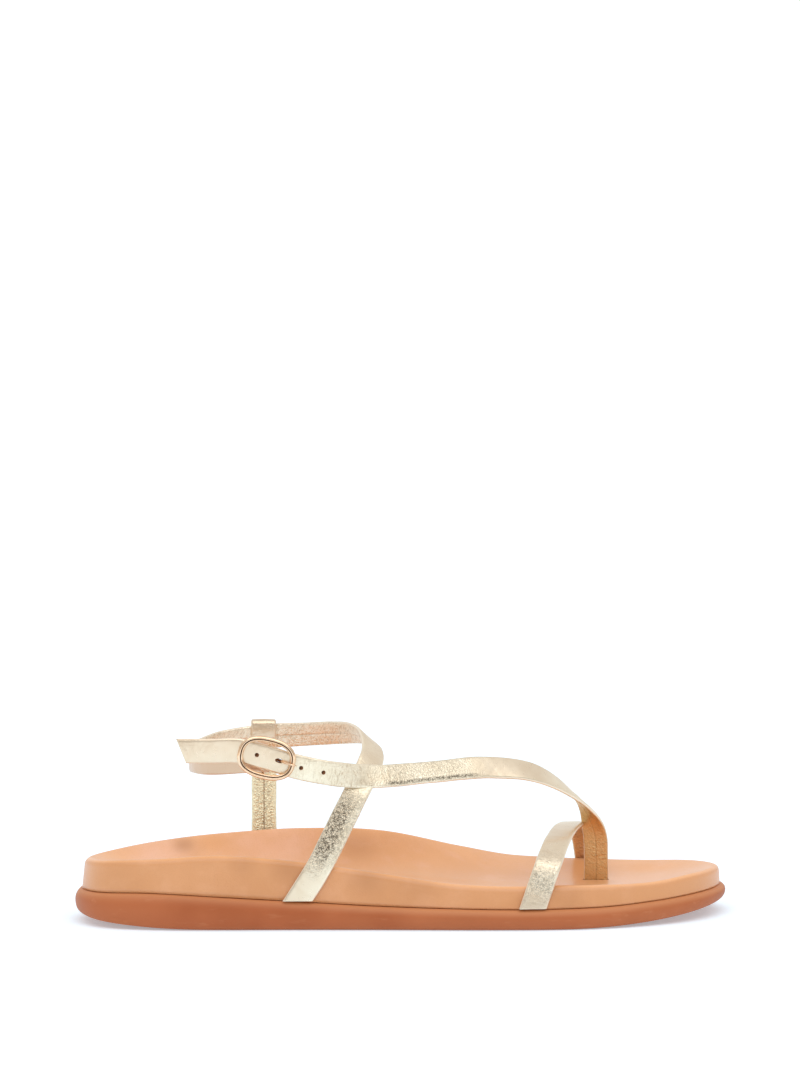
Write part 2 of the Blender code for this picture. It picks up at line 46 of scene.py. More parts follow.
# Sizes are in millimetres, along the shoe from the heel, with the inner side at +y, as the sole is drawn
MM = 0.001
LENGTH = 262.0
BALL_WIDTH = 92.0
AXIS_TURN = math.radians(4.9)
TOE_SPRING = 6.1
TOE_SPRING_START = 195.0
HEEL_LIFT = 4.1
HEEL_LIFT_END = 58.0
EDGE_BULGE = 3.2
LOWER_FULLNESS = 0.5
FLAT_SHARES = (0.1, 0.5, 1.0)
SPINE_HEEL = 34.0
SPINE_TOE = 222.0
OUTLINE_STEPS = 400
SOLE_COLUMNS = 560
EDGE_STEPS = 16
UNDER_ROWS = 42
UNDER_SPREAD = 0.9
UNDER_REACH = 0.985
TREAD_DEPTH = 0.9
TREAD_PITCH = 7.0
TREAD_WAVE = 3.2
TREAD_WAVE_LENGTH = 19.0
TREAD_BORDER = 6.0
TREAD_BORDER_SOFT = 1.0
TREAD_WALLS = (0.35, 0.85)
WELD = 0.02
DUSTY_HEEL = (-122, -84)
RUBBER_TONES = ((0.388, 0.097, 0.027), (0.455, 0.123, 0.039))
RUBBER_PAINTED_LIGHT_AND_DUST = (0.62, 0.255, 0.105)
RUBBER_SCUFFED = (0.60, 0.25, 0.12)
RUBBER_PAINTED_SHADE_LOW = (0.40, 0.13, 0.055)

SoleRow = namedtuple("SoleRow", "along lateral medial lip_top lateral_rim medial_rim bed")
SOLE_ROWS = (
    SoleRow(0.000, -0.060, -0.060, 12.6, 24.6, 24.6, 19.3),
    SoleRow(0.038, -0.318, 0.190, 13.7, 26.3, 25.0, 19.3),
    SoleRow(0.127, -0.396, 0.300, 14.2, 27.7, 27.8, 19.3),
    SoleRow(0.230, -0.400, 0.305, 12.7, 29.0, 30.8, 19.0),
    SoleRow(0.346, -0.393, 0.320, 10.9, 26.5, 32.5, 18.3),
    SoleRow(0.460, -0.393, 0.380, 9.2, 22.3, 30.8, 16.4),
    SoleRow(0.577, -0.400, 0.480, 8.2, 17.8, 23.4, 13.9),
    SoleRow(0.660, -0.400, 0.550, 7.8, 16.8, 18.6, 12.6),
    SoleRow(0.730, -0.390, 0.600, 7.9, 17.0, 16.8, 12.1),
    SoleRow(0.800, -0.355, 0.610, 8.2, 16.8, 15.9, 11.8),
    SoleRow(0.888, -0.257, 0.570, 9.5, 16.8, 15.9, 12.2),
    SoleRow(0.946, -0.141, 0.489, 10.6, 18.2, 16.9, 13.3),
    SoleRow(1.000, 0.207, 0.207, 11.2, 18.5, 18.5, 13.3),
)


def through(places, values, at):
    """Values on a smooth curve through the given values, which stand at rising places."""
    places = np.asarray(places, float)
    at = np.asarray(at, float)
    flat = np.ndim(values) == 1
    values = np.asarray(values, float).reshape(len(places), -1)
    spans = np.diff(places)[:, None]
    secants = np.diff(values, axis=0) / spans
    inner = (secants[:-1] * spans[1:] + secants[1:] * spans[:-1]) / (spans[:-1] + spans[1:])
    slopes = np.vstack((secants[:1], inner, secants[-1:]))
    first = np.clip(np.searchsorted(places, at, side="right") - 1, 0, len(places) - 2)
    span = spans[first]
    share = (at - places[first])[..., None] / span
    rest = 1 - share
    start = values[first] * ((1 + 2 * share) * rest**2) + slopes[first] * (span * share * rest**2)
    end = values[first + 1] * (share**2 * (3 - 2 * share)) - slopes[first + 1] * (span * share**2 * rest)
    found = start + end
    return found[..., 0] if flat else found


def unit(vectors):
    return vectors / np.linalg.norm(vectors, axis=-1, keepdims=True)


def smooth(value, low, high):
    """0 below low, 1 above high and a soft step between them."""
    share = np.clip((np.asarray(value, float) - low) / (high - low), 0, 1)
    return share**2 * (3 - 2 * share)


def station_at(x):
    """Stations run from 0 at the heel to 1 at the toe, closer together in x where the ends round off."""
    return np.arccos(1 - 2 * np.asarray(x, float) / LENGTH) / math.pi


STATIONS = [float(station_at(row.along * LENGTH)) for row in SOLE_ROWS]


def sole_value(name, station):
    return through(STATIONS, [getattr(row, name) for row in SOLE_ROWS], station)


def edge(turn):
    """The outline from above. turn goes from -1 at the toe by the inner side to 0 at the heel, and on by the
    outer side to 1 at the toe."""
    turn = (np.asarray(turn, float) + 1) % 2 - 1
    station = np.abs(turn)
    side = np.where(turn > 0, sole_value("lateral", station), sole_value("medial", station))
    return np.stack((LENGTH * (1 - np.cos(math.pi * station)) / 2, side * BALL_WIDTH), axis=-1)


def inward(turn):
    step = 1 / OUTLINE_STEPS
    ahead = edge(turn + step) - edge(turn - step)
    return unit(np.stack((-ahead[..., 1], ahead[..., 0]), axis=-1))


def spine_station(turn):
    return np.clip(np.abs(turn), station_at(SPINE_HEEL), station_at(SPINE_TOE))


def plan(turn, inset, share):
    """A point inset from the outline, then moved a share of the way to the sole's middle line."""
    turn, inset, share = np.broadcast_arrays(turn, inset, share)
    middle_station = spine_station(turn)
    middle = (edge(middle_station) + edge(-middle_station)) / 2
    rim = edge(turn) + inward(turn) * inset[..., None]
    return rim + (middle - rim) * share[..., None]


def underside(x):
    toe = np.maximum(0.0, (x - TOE_SPRING_START) / (LENGTH - TOE_SPRING_START))
    heel = np.maximum(0.0, (HEEL_LIFT_END - x) / HEEL_LIFT_END)
    return TOE_SPRING * toe**2 + HEEL_LIFT * heel**2


def lip_height(turn, share):
    rim_end = sole_value("lip_top", np.abs(turn))
    return rim_end + (sole_value("lip_top", spine_station(turn)) - rim_end) * share


outline = edge(np.arange(2 * OUTLINE_STEPS) / OUTLINE_STEPS - 1)
turned = np.array(Matrix.Rotation(-AXIS_TURN, 2))
corners = outline @ turned.T
middle_x, middle_y = (corners.max(axis=0) + corners.min(axis=0)) / 2
PLACING = Matrix.Translation((-middle_x * MM, -middle_y * MM, 0)) @ Matrix.Rotation(-AXIS_TURN, 4, "Z")


def grid_faces(columns, rows, closed_columns, closed_rows):
    """Faces of a grid of points that are numbered row by row within each column."""
    across = np.arange(columns if closed_columns else columns - 1)
    up = np.arange(rows if closed_rows else rows - 1)
    here, above = np.meshgrid(across, up, indexing="ij")
    there, higher = (here + 1) % columns, (above + 1) % rows
    square = ((here, above), (there, above), (there, higher), (here, higher))
    faces = np.stack([column * rows + row for column, row in square], -1)
    return [tuple(face) for face in faces.reshape(-1, 4).tolist()]


def new_object(name, data):
    made = bpy.data.objects.new(name, data)
    bpy.context.scene.collection.objects.link(made)
    return made


def mesh_piece(name, points, faces, weld=False):
    """A smooth mesh object from points in the sole's drawing, put where the finished shoe stands."""
    mesh = bpy.data.meshes.new(name)
    mesh.from_pydata((np.asarray(points).reshape(-1, 3) * MM).tolist(), [], faces)
    mesh.transform(PLACING)
    bm = bmesh.new()
    bm.from_mesh(mesh)
    if weld:
        bmesh.ops.remove_doubles(bm, verts=bm.verts, dist=WELD * MM)
        bmesh.ops.dissolve_degenerate(bm, edges=bm.edges, dist=WELD * MM / 2)
    bmesh.ops.recalc_face_normals(bm, faces=bm.faces)
    bm.to_mesh(mesh)
    bm.free()
    mesh.shade_smooth()
    return new_object(name, mesh)


def stands_for(piece, node):
    """The piece takes the node's place on the shoe."""
    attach(piece, "root")
    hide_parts(node)


class Wire:
    """A socket in a material's nodes. Arithmetic on it adds Math nodes."""

    def __init__(self, tree, socket=None):
        self.tree = tree
        self.socket = socket

    def node(self, kind, settings, inputs, output=0):
        """A new node of a kind, with its settings made first and then its sockets' values or links."""
        made = self.tree.nodes.new("ShaderNode" + kind)
        for name, value in settings.items():
            setattr(made, name, value)
        for key, value in inputs.items():
            if isinstance(value, Wire):
                self.tree.links.new(value.socket, made.inputs[key])
            else:
                made.inputs[key].default_value = value
        return Wire(self.tree, made.outputs[output])

    def maths(self, operation, *values):
        return self.node("Math", {"operation": operation}, dict(enumerate(values)))

    def __add__(self, other):
        return self.maths("ADD", self, other)

    __radd__ = __add__

    def __sub__(self, other):
        return self.maths("SUBTRACT", self, other)

    def __rsub__(self, other):
        return self.maths("SUBTRACT", other, self)

    def __mul__(self, other):
        return self.maths("MULTIPLY", self, other)

    __rmul__ = __mul__

    def __truediv__(self, other):
        return self.maths("DIVIDE", self, other)

    def step(self, low, high):
        """0 where this is under low, 1 where it is over high, and a soft step between."""
        settings = {"interpolation_type": "SMOOTHSTEP"}
        return self.node("MapRange", settings, {"Value": self, "From Min": low, "From Max": high})

    def near(self, centre, reach):
        """1 where this is at the centre, falling softly to 0 a reach away."""
        return 1 - self.maths("ABSOLUTE", self - centre).step(0.0, reach)

    def within(self, low, high, soft):
        """1 where this is between low and high, with a soft step at each."""
        return self.step(low - soft, low + soft) * (1 - self.step(high - soft, high + soft))

    def largest(self, other):
        return self.maths("MAXIMUM", self, other)

    def mixed(self, first, second):
        """A colour this share of the way from the first to the second."""
        ends = {"Factor": self, 6: colour_of(first), 7: colour_of(second)}
        return self.node("Mix", {"data_type": "RGBA"}, ends, output=2)

    def place(self):
        """Where each point of the surface lies on the piece."""
        return self.node("TexCoord", {}, {}, output="Object")

    def normal(self):
        return self.node("NewGeometry", {}, {}, output="Normal")

    def axis(self, name):
        """One axis of this vector."""
        return self.node("SeparateXYZ", {}, {0: self}, output=name)

    def scaled(self, by):
        """This vector with each axis multiplied."""
        return self.node("VectorMath", {"operation": "MULTIPLY"}, {0: self, 1: by})

    def gap_to(self, point):
        """The distance of this vector from a point."""
        return self.node("VectorMath", {"operation": "DISTANCE"}, {0: self, 1: point}, output="Value")

    def noise(self, scale, detail=2.0, roughness=0.5, distortion=0.0):
        inputs = {"Scale": scale, "Detail": detail, "Roughness": roughness, "Distortion": distortion}
        return self.node("TexNoise", {}, {"Vector": self, **inputs})

    def cells(self, scale, feature="F1"):
        return self.node("TexVoronoi", {"feature": feature}, {"Vector": self, "Scale": scale})


def colour_of(value):
    return value if isinstance(value, Wire) else (*value, 1.0)


def new_material(name):
    """A material with its shader, and a wire from which its nodes are made."""
    material = bpy.data.materials.new(name)
    material.use_nodes = True
    return material, material.node_tree.nodes["Principled BSDF"], Wire(material.node_tree)


def feed(shader, wires, **constants):
    """Links what varies to the shader and sets what is the same all over."""
    for name, wire in wires.items():
        wire.tree.links.new(wire.socket, shader.inputs[name])
    for name, value in constants.items():
        shader.inputs[name.replace("_", " ")].default_value = value


def bumped(wire, height, depth):
    """A normal from heights of 0 to 1, where 1 stands depth millimetres over 0."""
    return wire.node("Bump", {}, {"Strength": 1.0, "Distance": depth * MM, "Height": height})


def terracotta_rubber():
    material, shader, wire = new_material("terracotta_rubber")
    place = wire.place()
    height_up = place.axis("Z") / MM
    heel = 1 - (place.axis("X") / MM).step(*DUSTY_HEEL)
    upward = wire.normal().axis("Z").step(0.15, 0.95)
    cloud = place.noise(38, 3)
    grain = place.noise(1900, 2, 0.6)
    scuff = place.scaled((60, 300, 300)).noise(1.0, 4, 0.6).step(0.56, 0.74)
    dust = place.noise(14, 3, 0.6).step(0.42, 0.66)
    body = cloud.step(0.3, 0.7).mixed(*RUBBER_TONES)
    # Upward faces of the edge are painted lighter, a painted highlight; the heel and dusty spots are lighter
    # with dust.
    painted_light_and_dust = (upward * 0.75 + dust * (0.14 + heel * 0.35) + heel * 0.08).mixed(body, RUBBER_PAINTED_LIGHT_AND_DUST)
    scuffed = (scuff * 0.3).mixed(painted_light_and_dust, RUBBER_SCUFFED)
    # The lowest 2.2 mm of the sole is painted darker with shade.
    painted_shade_low = (1 - height_up.step(0.0, 2.2)) * 0.45
    feed(shader, {
        "Base Color": painted_shade_low.mixed(scuffed, RUBBER_PAINTED_SHADE_LOW),
        "Roughness": 0.46 + grain * 0.12 + scuff * 0.1,
        "Normal": bumped(wire, grain * 0.6 + cloud * 0.4, 0.035),
    }, Specular_IOR_Level=0.32)
    return material


def outsole_points():
    shares = 1 - np.linspace(0, 1, UNDER_ROWS) ** UNDER_SPREAD * UNDER_REACH
    rows = [(EDGE_BULGE, share, 0.0) for share in shares]
    for angle in np.linspace(-math.pi / 2, math.pi / 2, EDGE_STEPS + 1):
        fullness = LOWER_FULLNESS if angle < 0 else 1.0
        rows.append((EDGE_BULGE * (1 - math.cos(angle) ** fullness), 0.0, (1 + math.sin(angle)) / 2))
    rows += [(EDGE_BULGE, share, 1.0) for share in FLAT_SHARES]
    inset, share, rise = np.array(rows).T
    turn = (np.arange(SOLE_COLUMNS) * 2 / SOLE_COLUMNS - 1)[:, None]
    flat = plan(turn, inset, share)
    low = underside(flat[..., 0])
    top = lip_height(turn, share)
    height = low + (top - low) * rise
    from_edge = np.linalg.norm(flat - plan(turn, EDGE_BULGE, 0.0), axis=-1)
    wave = flat[..., 0] + TREAD_WAVE * np.sin(2 * math.pi * flat[..., 1] / TREAD_WAVE_LENGTH)
    groove = smooth(np.cos(2 * math.pi * wave / TREAD_PITCH), *TREAD_WALLS)
    inside = smooth(from_edge, TREAD_BORDER - TREAD_BORDER_SOFT, TREAD_BORDER + TREAD_BORDER_SOFT)
    height = height + np.where(rise == 0, TREAD_DEPTH * groove * inside, 0)
    return np.dstack((flat, height))


points = outsole_points()
sole_faces = grid_faces(SOLE_COLUMNS, points.shape[1], True, False)
outsole = mesh_piece("outsole_rubber", points, sole_faces, weld=True)
outsole.data.materials.append(terracotta_rubber())
stands_for(outsole, "outsole")

# Footbed
# A moulded cork and foam midsole with heel cup and arch, wrapped in smooth tan leather that is drawn over the
# rim and down the wall. It is cemented on the outsole, and a slot in it takes the foot of the toe post.

CLEARANCE = 0.3
LIP = 2.8
TOE_LIP = 2.3
TOE_LIP_START = 205.0
WALL_LEAN = 1.0
TOE_LEAN = 0.3
RIM_RADIUS = 2.6
DISH_POWER = 0.6
BED_COLUMNS = 640
WALL_ROWS = 8
RIM_ROWS = 9
DISH_ROWS = 30
DISH_CROWDING = 1.25
DENTS_FADE = (0.05, 0.45)
THONG_WIDTH = 9.8
STRAP_THICKNESS = 1.6
THONG_X = 209.6
THONG_Y = 20.0
THONG_FOOT = 9.2
SLOT_ROOM = 0.15
PAINTED_SHADE_WALL_TONES = ((0.665, 0.300, 0.122), (0.725, 0.340, 0.148))
PAINTED_LIGHT_BED_TONES = ((0.835, 0.395, 0.158), (0.900, 0.450, 0.197))
SHADED_TAN = (0.52, 0.205, 0.07)
TINT_AND_PAINTED_SHEEN_TAN = (0.90, 0.49, 0.30)
PAINTED_SHEEN_PINK = (0.93, 0.53, 0.35)
PAINTED_SHADE_TAN = (0.42, 0.165, 0.055)
PORE_BROWN = (0.50, 0.21, 0.09)
RAW_TONES = ((0.17, 0.062, 0.022), (0.31, 0.13, 0.052))

# A soft press or a crease in a surface: its middle, its reach along its own line and across it, the turn of
# that line in degrees, and its depth, negative for a ridge
Dent = namedtuple("Dent", "x y along across turn depth")
BED_DENTS = (
    Dent(36, -5, 20, 17, 0, 0.55),
    Dent(26, 14, 9, 4, 38, 0.30),
    Dent(52, 17, 14, 3, 8, 0.22),
    Dent(16, -10, 5, 12, 18, 0.20),
    Dent(186, 6, 20, 26, 10, 0.45),
    Dent(168, 0, 2.2, 26, 9, 0.16),
    Dent(176, 4, 2.0, 30, 11, 0.14),
    Dent(158, -4, 2.4, 20, 6, 0.12),
    Dent(232, 34, 11, 8, -8, 0.40),
    Dent(233, 10, 8, 6, 0, 0.30),
    Dent(224, -4, 7, 6, 10, 0.25),
    Dent(104, 8, 26, 6, 5, -0.25),
)


def toeward(turn):
    """0 up to where the lip starts to narrow, rising to 1 at the toe."""
    return np.maximum(0.0, (edge(turn)[..., 0] - TOE_LIP_START) / (LENGTH - TOE_LIP_START))


def lip(turn):
    return LIP + (TOE_LIP - LIP) * toeward(turn)


def lean(turn):
    """How far the wall leans in over its height, least at the toe."""
    return WALL_LEAN + (TOE_LEAN - WALL_LEAN) * toeward(turn)


def rim_height(turn):
    station = np.abs(turn)
    return np.where(turn > 0, sole_value("lateral_rim", station), sole_value("medial_rim", station))


def wall_inset(turn, z):
    foot = lip_height(turn, 0.0)
    top = rim_height(turn) - RIM_RADIUS
    return lip(turn) + lean(turn) * np.clip((z - foot) / (top - foot), 0, 1)


def dish_height(turn, share):
    bed = sole_value("bed", spine_station(turn))
    return bed + (rim_height(turn) - bed) * np.cos(math.pi / 2 * share**DISH_POWER) ** 2


def sunk_by(dents, x, y):
    """How far dents sink a surface at places on it."""
    depth = np.zeros(np.broadcast(x, y).shape)
    for dent in dents:
        angle = math.radians(dent.turn)
        ahead = (x - dent.x) * math.cos(angle) + (y - dent.y) * math.sin(angle)
        aside = (y - dent.y) * math.cos(angle) - (x - dent.x) * math.sin(angle)
        depth += dent.depth * np.exp(-((ahead / dent.along) ** 2) - (aside / dent.across) ** 2)
    return depth


def footbed_points():
    turn = (np.arange(BED_COLUMNS) * 2 / BED_COLUMNS - 1)[:, None]
    rim = rim_height(turn)
    foot = lip_height(turn, 0.0) + CLEARANCE
    rim_inset = lip(turn) + lean(turn)
    under = np.array(FLAT_SHARES)[None, ::-1]
    wall = np.linspace(0, 1, WALL_ROWS)[None, :]
    curl = np.linspace(0, math.pi / 2, RIM_ROWS)[None, 1:]
    dish = np.linspace(0, 1, DISH_ROWS + 1)[None, 1:] ** DISH_CROWDING
    bed_flat = plan(turn, rim_inset + RIM_RADIUS, dish)
    sunk = sunk_by(BED_DENTS, bed_flat[..., 0], bed_flat[..., 1]) * smooth(dish, *DENTS_FADE)
    parts = (
        (plan(turn, lip(turn), under), lip_height(turn, under) + CLEARANCE),
        (plan(turn, lip(turn) + lean(turn) * wall, 0.0), foot + (rim - RIM_RADIUS - foot) * wall),
        (plan(turn, rim_inset + RIM_RADIUS * (1 - np.cos(curl)), 0.0), rim - RIM_RADIUS * (1 - np.sin(curl))),
        (bed_flat, dish_height(turn, dish) - sunk),
    )
    return np.concatenate([np.dstack((flat, height)) for flat, height in parts], axis=1)


def apply_cut(piece, cutter):
    """Cuts the cutter out of the piece for good, and removes the cutter."""
    cut = piece.modifiers.new("cut", "BOOLEAN")
    cut.operation = "DIFFERENCE"
    cut.solver = "EXACT"
    cut.material_mode = "TRANSFER"
    cut.object = cutter
    evaluated = piece.evaluated_get(bpy.context.evaluated_depsgraph_get())
    mesh = bpy.data.meshes.new_from_object(evaluated)
    piece.modifiers.clear()
    piece.data = mesh
    bpy.data.objects.remove(cutter, do_unlink=True)


def plain_object(name, bm, material):
    mesh = bpy.data.meshes.new(name)
    bm.to_mesh(mesh)
    bm.free()
    mesh.materials.append(material)
    return new_object(name, mesh)


def cutter_from(bm, put, material):
    """A cutter from a plain form, whose points put moves to their places in the sole's drawing."""
    for vertex in bm.verts:
        vertex.co = PLACING @ (put(vertex.co) * MM)
    return plain_object("cutter", bm, material)


def box_cutter(centre, size, turn, material):
    bm = bmesh.new()
    bmesh.ops.create_cube(bm, size=1.0)
    return cutter_from(bm, lambda corner: Vector(centre) + turn @ (corner * Vector(size)), material)


# A place where the leather has another tone: its middle, its reach and how strong it is. Some places are
# painted lighter and pinker with a sheen, and others darker with painted shade.
Tone = namedtuple("Tone", "x y z reach strength")
PAINTED_SHEEN_SPOTS = (
    Tone(33, 14, 23, 24, 0.80),
    Tone(80, 16, 26, 30, 0.85),
    Tone(222, 8, 13, 34, 0.30),
    Tone(150, -18, 14, 30, 0.12),
    Tone(238, 14, 14, 30, 0.30),
)
PAINTED_SHADE_SPOTS = (
    Tone(42, 20, 24, 8, 0.55),
    Tone(45, 17, 21, 11, 0.28),
    Tone(86, -34, 25, 11, 0.46),
    Tone(68, -34, 26, 9, 0.26),
    Tone(117, -33, 21, 13, 0.42),
    Tone(137, -33, 18, 14, 0.24),
    Tone(20, -26, 18, 16, 0.16),
    Tone(196, -32, 11, 12, 0.26),
    Tone(112, 19, 25, 14, 0.30),
    Tone(211, 14, 13, 9, 0.30),
    Tone(200, -22, 15, 11, 0.18),
)


def tan_leather():
    material, shader, wire = new_material("tan_leather")
    place = wire.place()
    rise = place.axis("Z") / MM
    upward = wire.normal().axis("Z").step(0.52, 0.93)
    cloud = place.noise(24, 3, 0.5, 0.4)
    tint = place.noise(95, 4, 0.6)
    pores = place.cells(1500, "F1").step(0.05, 0.42)
    grain = place.cells(780, "DISTANCE_TO_EDGE").step(0.0, 0.16)
    fine = place.noise(420, 4, 0.6, 0.6)
    # Wall and bed are shaded and lit copies of one leather: the wall deeper and darker low down with painted
    # shade, the upward-facing bed lighter with painted light.
    wall = cloud.step(0.32, 0.68).mixed(*PAINTED_SHADE_WALL_TONES)
    bed = cloud.step(0.32, 0.68).mixed(*PAINTED_LIGHT_BED_TONES)
    shaded = ((1 - rise.step(6, 27)) * 0.20).mixed(wall, SHADED_TAN)
    painted_light_and_shade = upward.mixed(shaded, bed)
    # A random pink tint, stronger on upward faces, where it is a painted sheen.
    tint_and_painted_sheen = (tint.step(0.45, 0.75) * (0.15 + upward * 0.25)).mixed(painted_light_and_shade, TINT_AND_PAINTED_SHEEN_TAN)
    rosy, painted_shade = [
        sum(
            place.gap_to(PLACING @ (Vector(tone[:3]) * MM)).near(0.0, tone.reach * MM) * tone.strength
            for tone in tones
        )
        for tones in (PAINTED_SHEEN_SPOTS, PAINTED_SHADE_SPOTS)
    ]
    # Painted sheen spots, stronger on upward faces, lighten the bed towards pink.
    pink = (rosy * (0.3 + upward * 0.7) * (0.5 + tint * 0.9)).mixed(tint_and_painted_sheen, PAINTED_SHEEN_PINK)
    # Painted shade spots darken the wall under the rim, the heel cup and the bed beside the straps and the
    # post.
    with_painted_shade = (painted_shade * (0.6 + cloud * 0.8)).mixed(pink, PAINTED_SHADE_TAN)
    feed(shader, {
        "Base Color": ((1 - pores) * 0.16).mixed(with_painted_shade, PORE_BROWN),
        "Roughness": 0.27 + fine * 0.1 + cloud * 0.06,
        "Coat Weight": 0.12 + upward * 0.3,
        "Normal": bumped(wire, pores * 0.3 + grain * 0.35 + fine * 0.5, 0.05),
    }, Specular_IOR_Level=0.5, Coat_Roughness=0.26)
    return material


def raw_edge():
    """The bare cut edge of leather, dark brown and fibrous."""
    material, shader, wire = new_material("raw_edge")
    fibre = wire.place().noise(2600, 3, 0.6)
    feed(shader, {
        "Base Color": fibre.step(0.3, 0.7).mixed(*RAW_TONES),
        "Normal": bumped(wire, fibre, 0.06),
    }, Roughness=0.8)
    return material


RAW_EDGE = raw_edge()
points = footbed_points()
bed_faces = grid_faces(BED_COLUMNS, points.shape[1], True, False)
footbed = mesh_piece("footbed_leather", points, bed_faces, weld=True)
footbed.data.materials.append(tan_leather())
slot_foot = THONG_FOOT - CLEARANCE
slot_top = float(sole_value("lateral_rim", station_at(THONG_X)))
slot_size = (THONG_WIDTH + 2 * SLOT_ROOM, STRAP_THICKNESS + 2 * SLOT_ROOM, slot_top - slot_foot)
slot_middle = (THONG_X, THONG_Y, (slot_top + slot_foot) / 2)
apply_cut(footbed, box_cutter(slot_middle, slot_size, Matrix.Identity(3), RAW_EDGE))
stands_for(footbed, "footbed")

# Thong strap
# Champagne-gold foil leather, both edges folded under to meet in a seam on the inner side. Its foot is glued
# in the footbed's slot. It twists over the instep, runs through the buckle and ends in a slanted tail.

FACE_POINTS = 21
EDGE_POINTS = 5
CROWN = 0.12
FOIL_RELIEF = 0.2
SEAM_DEPTH = 0.16
SEAM_REACH = 0.28
SEAM_CROWDING = 0.45
RING_STEP = 0.4
FACING_STEP = 0.2
END_ROUND = 0.7
END_LEAST = 0.25
TAIL_SLANT = 4.0
RIPPLE_HEIGHT = 0.0035
RIPPLE_LENGTHS = (2.6, 4.1, 6.3, 9.7)
RIPPLE_LEAN = 0.9
WANDERS = ((0.008, 5.3, 1), (0.006, 2.3, 2))
PUNCH_DIAMETER = 1.9
PUNCH_BEHIND = 0.0
PUNCH_SLANT = 0.45
PUNCH_PITCH = 9.0
PUNCHES = (-2, -1, 1)
PUNCH_SIDES = 32
PUNCH_REACH = 1.5 * STRAP_THICKNESS
WIRE_RADIUS = 1.1
STRAP_DEPTH = WIRE_RADIUS + CLEARANCE + STRAP_THICKNESS / 2
PRONG_HOLE_AT = 5.2
PRONG_HOLE_LENGTH = 3.6
PRONG_HOLE_WIDTH = 1.9
PRONG_HOLE_BEHIND = 0.62
BUCKLE_CENTRE = Vector((77.6, -37.5, 68.6))
BUCKLE_TILT = math.radians(13.6)
BUCKLE_TURN = Matrix((
    (math.cos(BUCKLE_TILT), math.sin(BUCKLE_TILT), 0),
    (0, 0, -1),
    (-math.sin(BUCKLE_TILT), math.cos(BUCKLE_TILT), 0),
))
POST_LENGTH = 45.0
POST_FADE = 40.0
NO_POST = -2 * POST_FADE
PATCH_SIDE_SOFTNESS = 0.25
SIDE_SPREAD = 2.5
HATCH_LEAN = 0.8
GOLD_TONES = ((0.865, 0.748, 0.56), (0.93, 0.83, 0.645))
PAINTED_PINK_REFLECTION_GOLD = (0.66, 0.46, 0.315)
POST_TAN_AND_PAINTED_SHADE = (0.72, 0.45, 0.20)
CREASE_PAINTED_SHADE = (0.42, 0.27, 0.13)
WEAR_AND_PAINTED_SHADE_BROWN = (0.07, 0.045, 0.018)
EDGE_PAINTED_HIGHLIGHT = (0.93, 0.83, 0.71)
SEAM_BROWN = (0.22, 0.105, 0.05)
THONG_LINING = (0.88, 0.72, 0.52)

StrapRow = namedtuple("StrapRow", "x y z facing")
# A patch of the foil: where it starts and ends along the strap and across it, how soft its border is, how
# dark its specks are (foil wear, with painted shade for dark reflections), how deep its fine wrinkles and how
# much painted pink reflection and shade it takes
Patch = namedtuple("Patch", "start end low high soft dark wrinkled rosy", defaults=(0.0, 0.0, 0.0))


def at_buckle(along, across, out):
    return BUCKLE_CENTRE + BUCKLE_TURN @ Vector((along, across, out))


def buckle_row(along, across, out, facing=(0, 0, 1)):
    return StrapRow(*at_buckle(along, across, out), BUCKLE_TURN @ Vector(facing))


def free_row(x, y, z, *facing):
    return StrapRow(x, y, z, Vector(facing))


def lengths_along(points):
    """How far along a line of points each of them lies."""
    return np.concatenate(((0.0,), np.cumsum(np.linalg.norm(np.diff(points, axis=0), axis=1))))


def tube_faces(rings, sides):
    """Faces of a tube of rings, closed at both ends."""
    ends = [tuple(range(sides)), tuple(range((rings - 1) * sides, rings * sides))]
    return grid_faces(rings, sides, False, True) + ends


class Strap:
    """A strap's middle line and facing, by length along it."""

    def __init__(self, rows):
        self.points = np.array([(row.x, row.y, row.z) for row in rows])
        self.facings = np.array([tuple(row.facing.normalized()) for row in rows])
        self.places = lengths_along(self.points)
        self.length = float(self.places[-1])

    def frames(self, along):
        """Middle points, ways along, ways across and outward facings at lengths along the strap."""
        along = np.asarray(along, float)
        ahead = through(self.places, self.points, np.minimum(self.length, along + FACING_STEP))
        behind = through(self.places, self.points, np.maximum(0.0, along - FACING_STEP))
        tangent = unit(ahead - behind)
        across = unit(np.cross(through(self.places, self.facings, along), tangent))
        return through(self.places, self.points, along), tangent, across, np.cross(tangent, across)

    def nearest(self, target):
        along = np.arange(0, self.length, FACING_STEP)
        gaps = np.linalg.norm(through(self.places, self.points, along) - np.array(target), axis=1)
        return float(along[gaps.argmin()])


def strap_section(width):
    """The strap's outline: offsets across and outward, and how far each point faces out (1) or in (-1)."""
    radius = STRAP_THICKNESS / 2
    half = width / 2 - radius
    spread = np.linspace(-1, 1, FACE_POINTS)
    face = half * (SEAM_CROWDING * spread**3 + (1 - SEAM_CROWDING) * spread)
    curl = np.linspace(math.pi / 2, -math.pi / 2, EDGE_POINTS + 2)[1:-1]
    crowned = radius + CROWN * (1 - (face / half) ** 2)
    seamed = -radius + SEAM_DEPTH * np.exp(-((face / SEAM_REACH) ** 2))
    across = np.concatenate((face, half + radius * np.cos(curl), face[::-1], -half - radius * np.cos(curl)))
    out = np.concatenate((crowned, radius * np.sin(curl), seamed, -radius * np.sin(curl)))
    facing = np.concatenate((np.ones(FACE_POINTS), np.sin(curl), -np.ones(FACE_POINTS), -np.sin(curl)))
    return across, out, facing


def rippled(along, across, seed):
    """The slight unevenness of a hand-folded strip."""
    draw = np.random.default_rng(seed)
    height = np.zeros(np.broadcast(along, across).shape)
    for length in RIPPLE_LENGTHS:
        angle, phase = draw.uniform(-RIPPLE_LEAN, RIPPLE_LEAN), draw.uniform(0, 2 * math.pi)
        run = along * math.cos(angle) + across * math.sin(angle)
        height += RIPPLE_HEIGHT * length**0.5 * np.sin(2 * math.pi * run / length + phase)
    return height


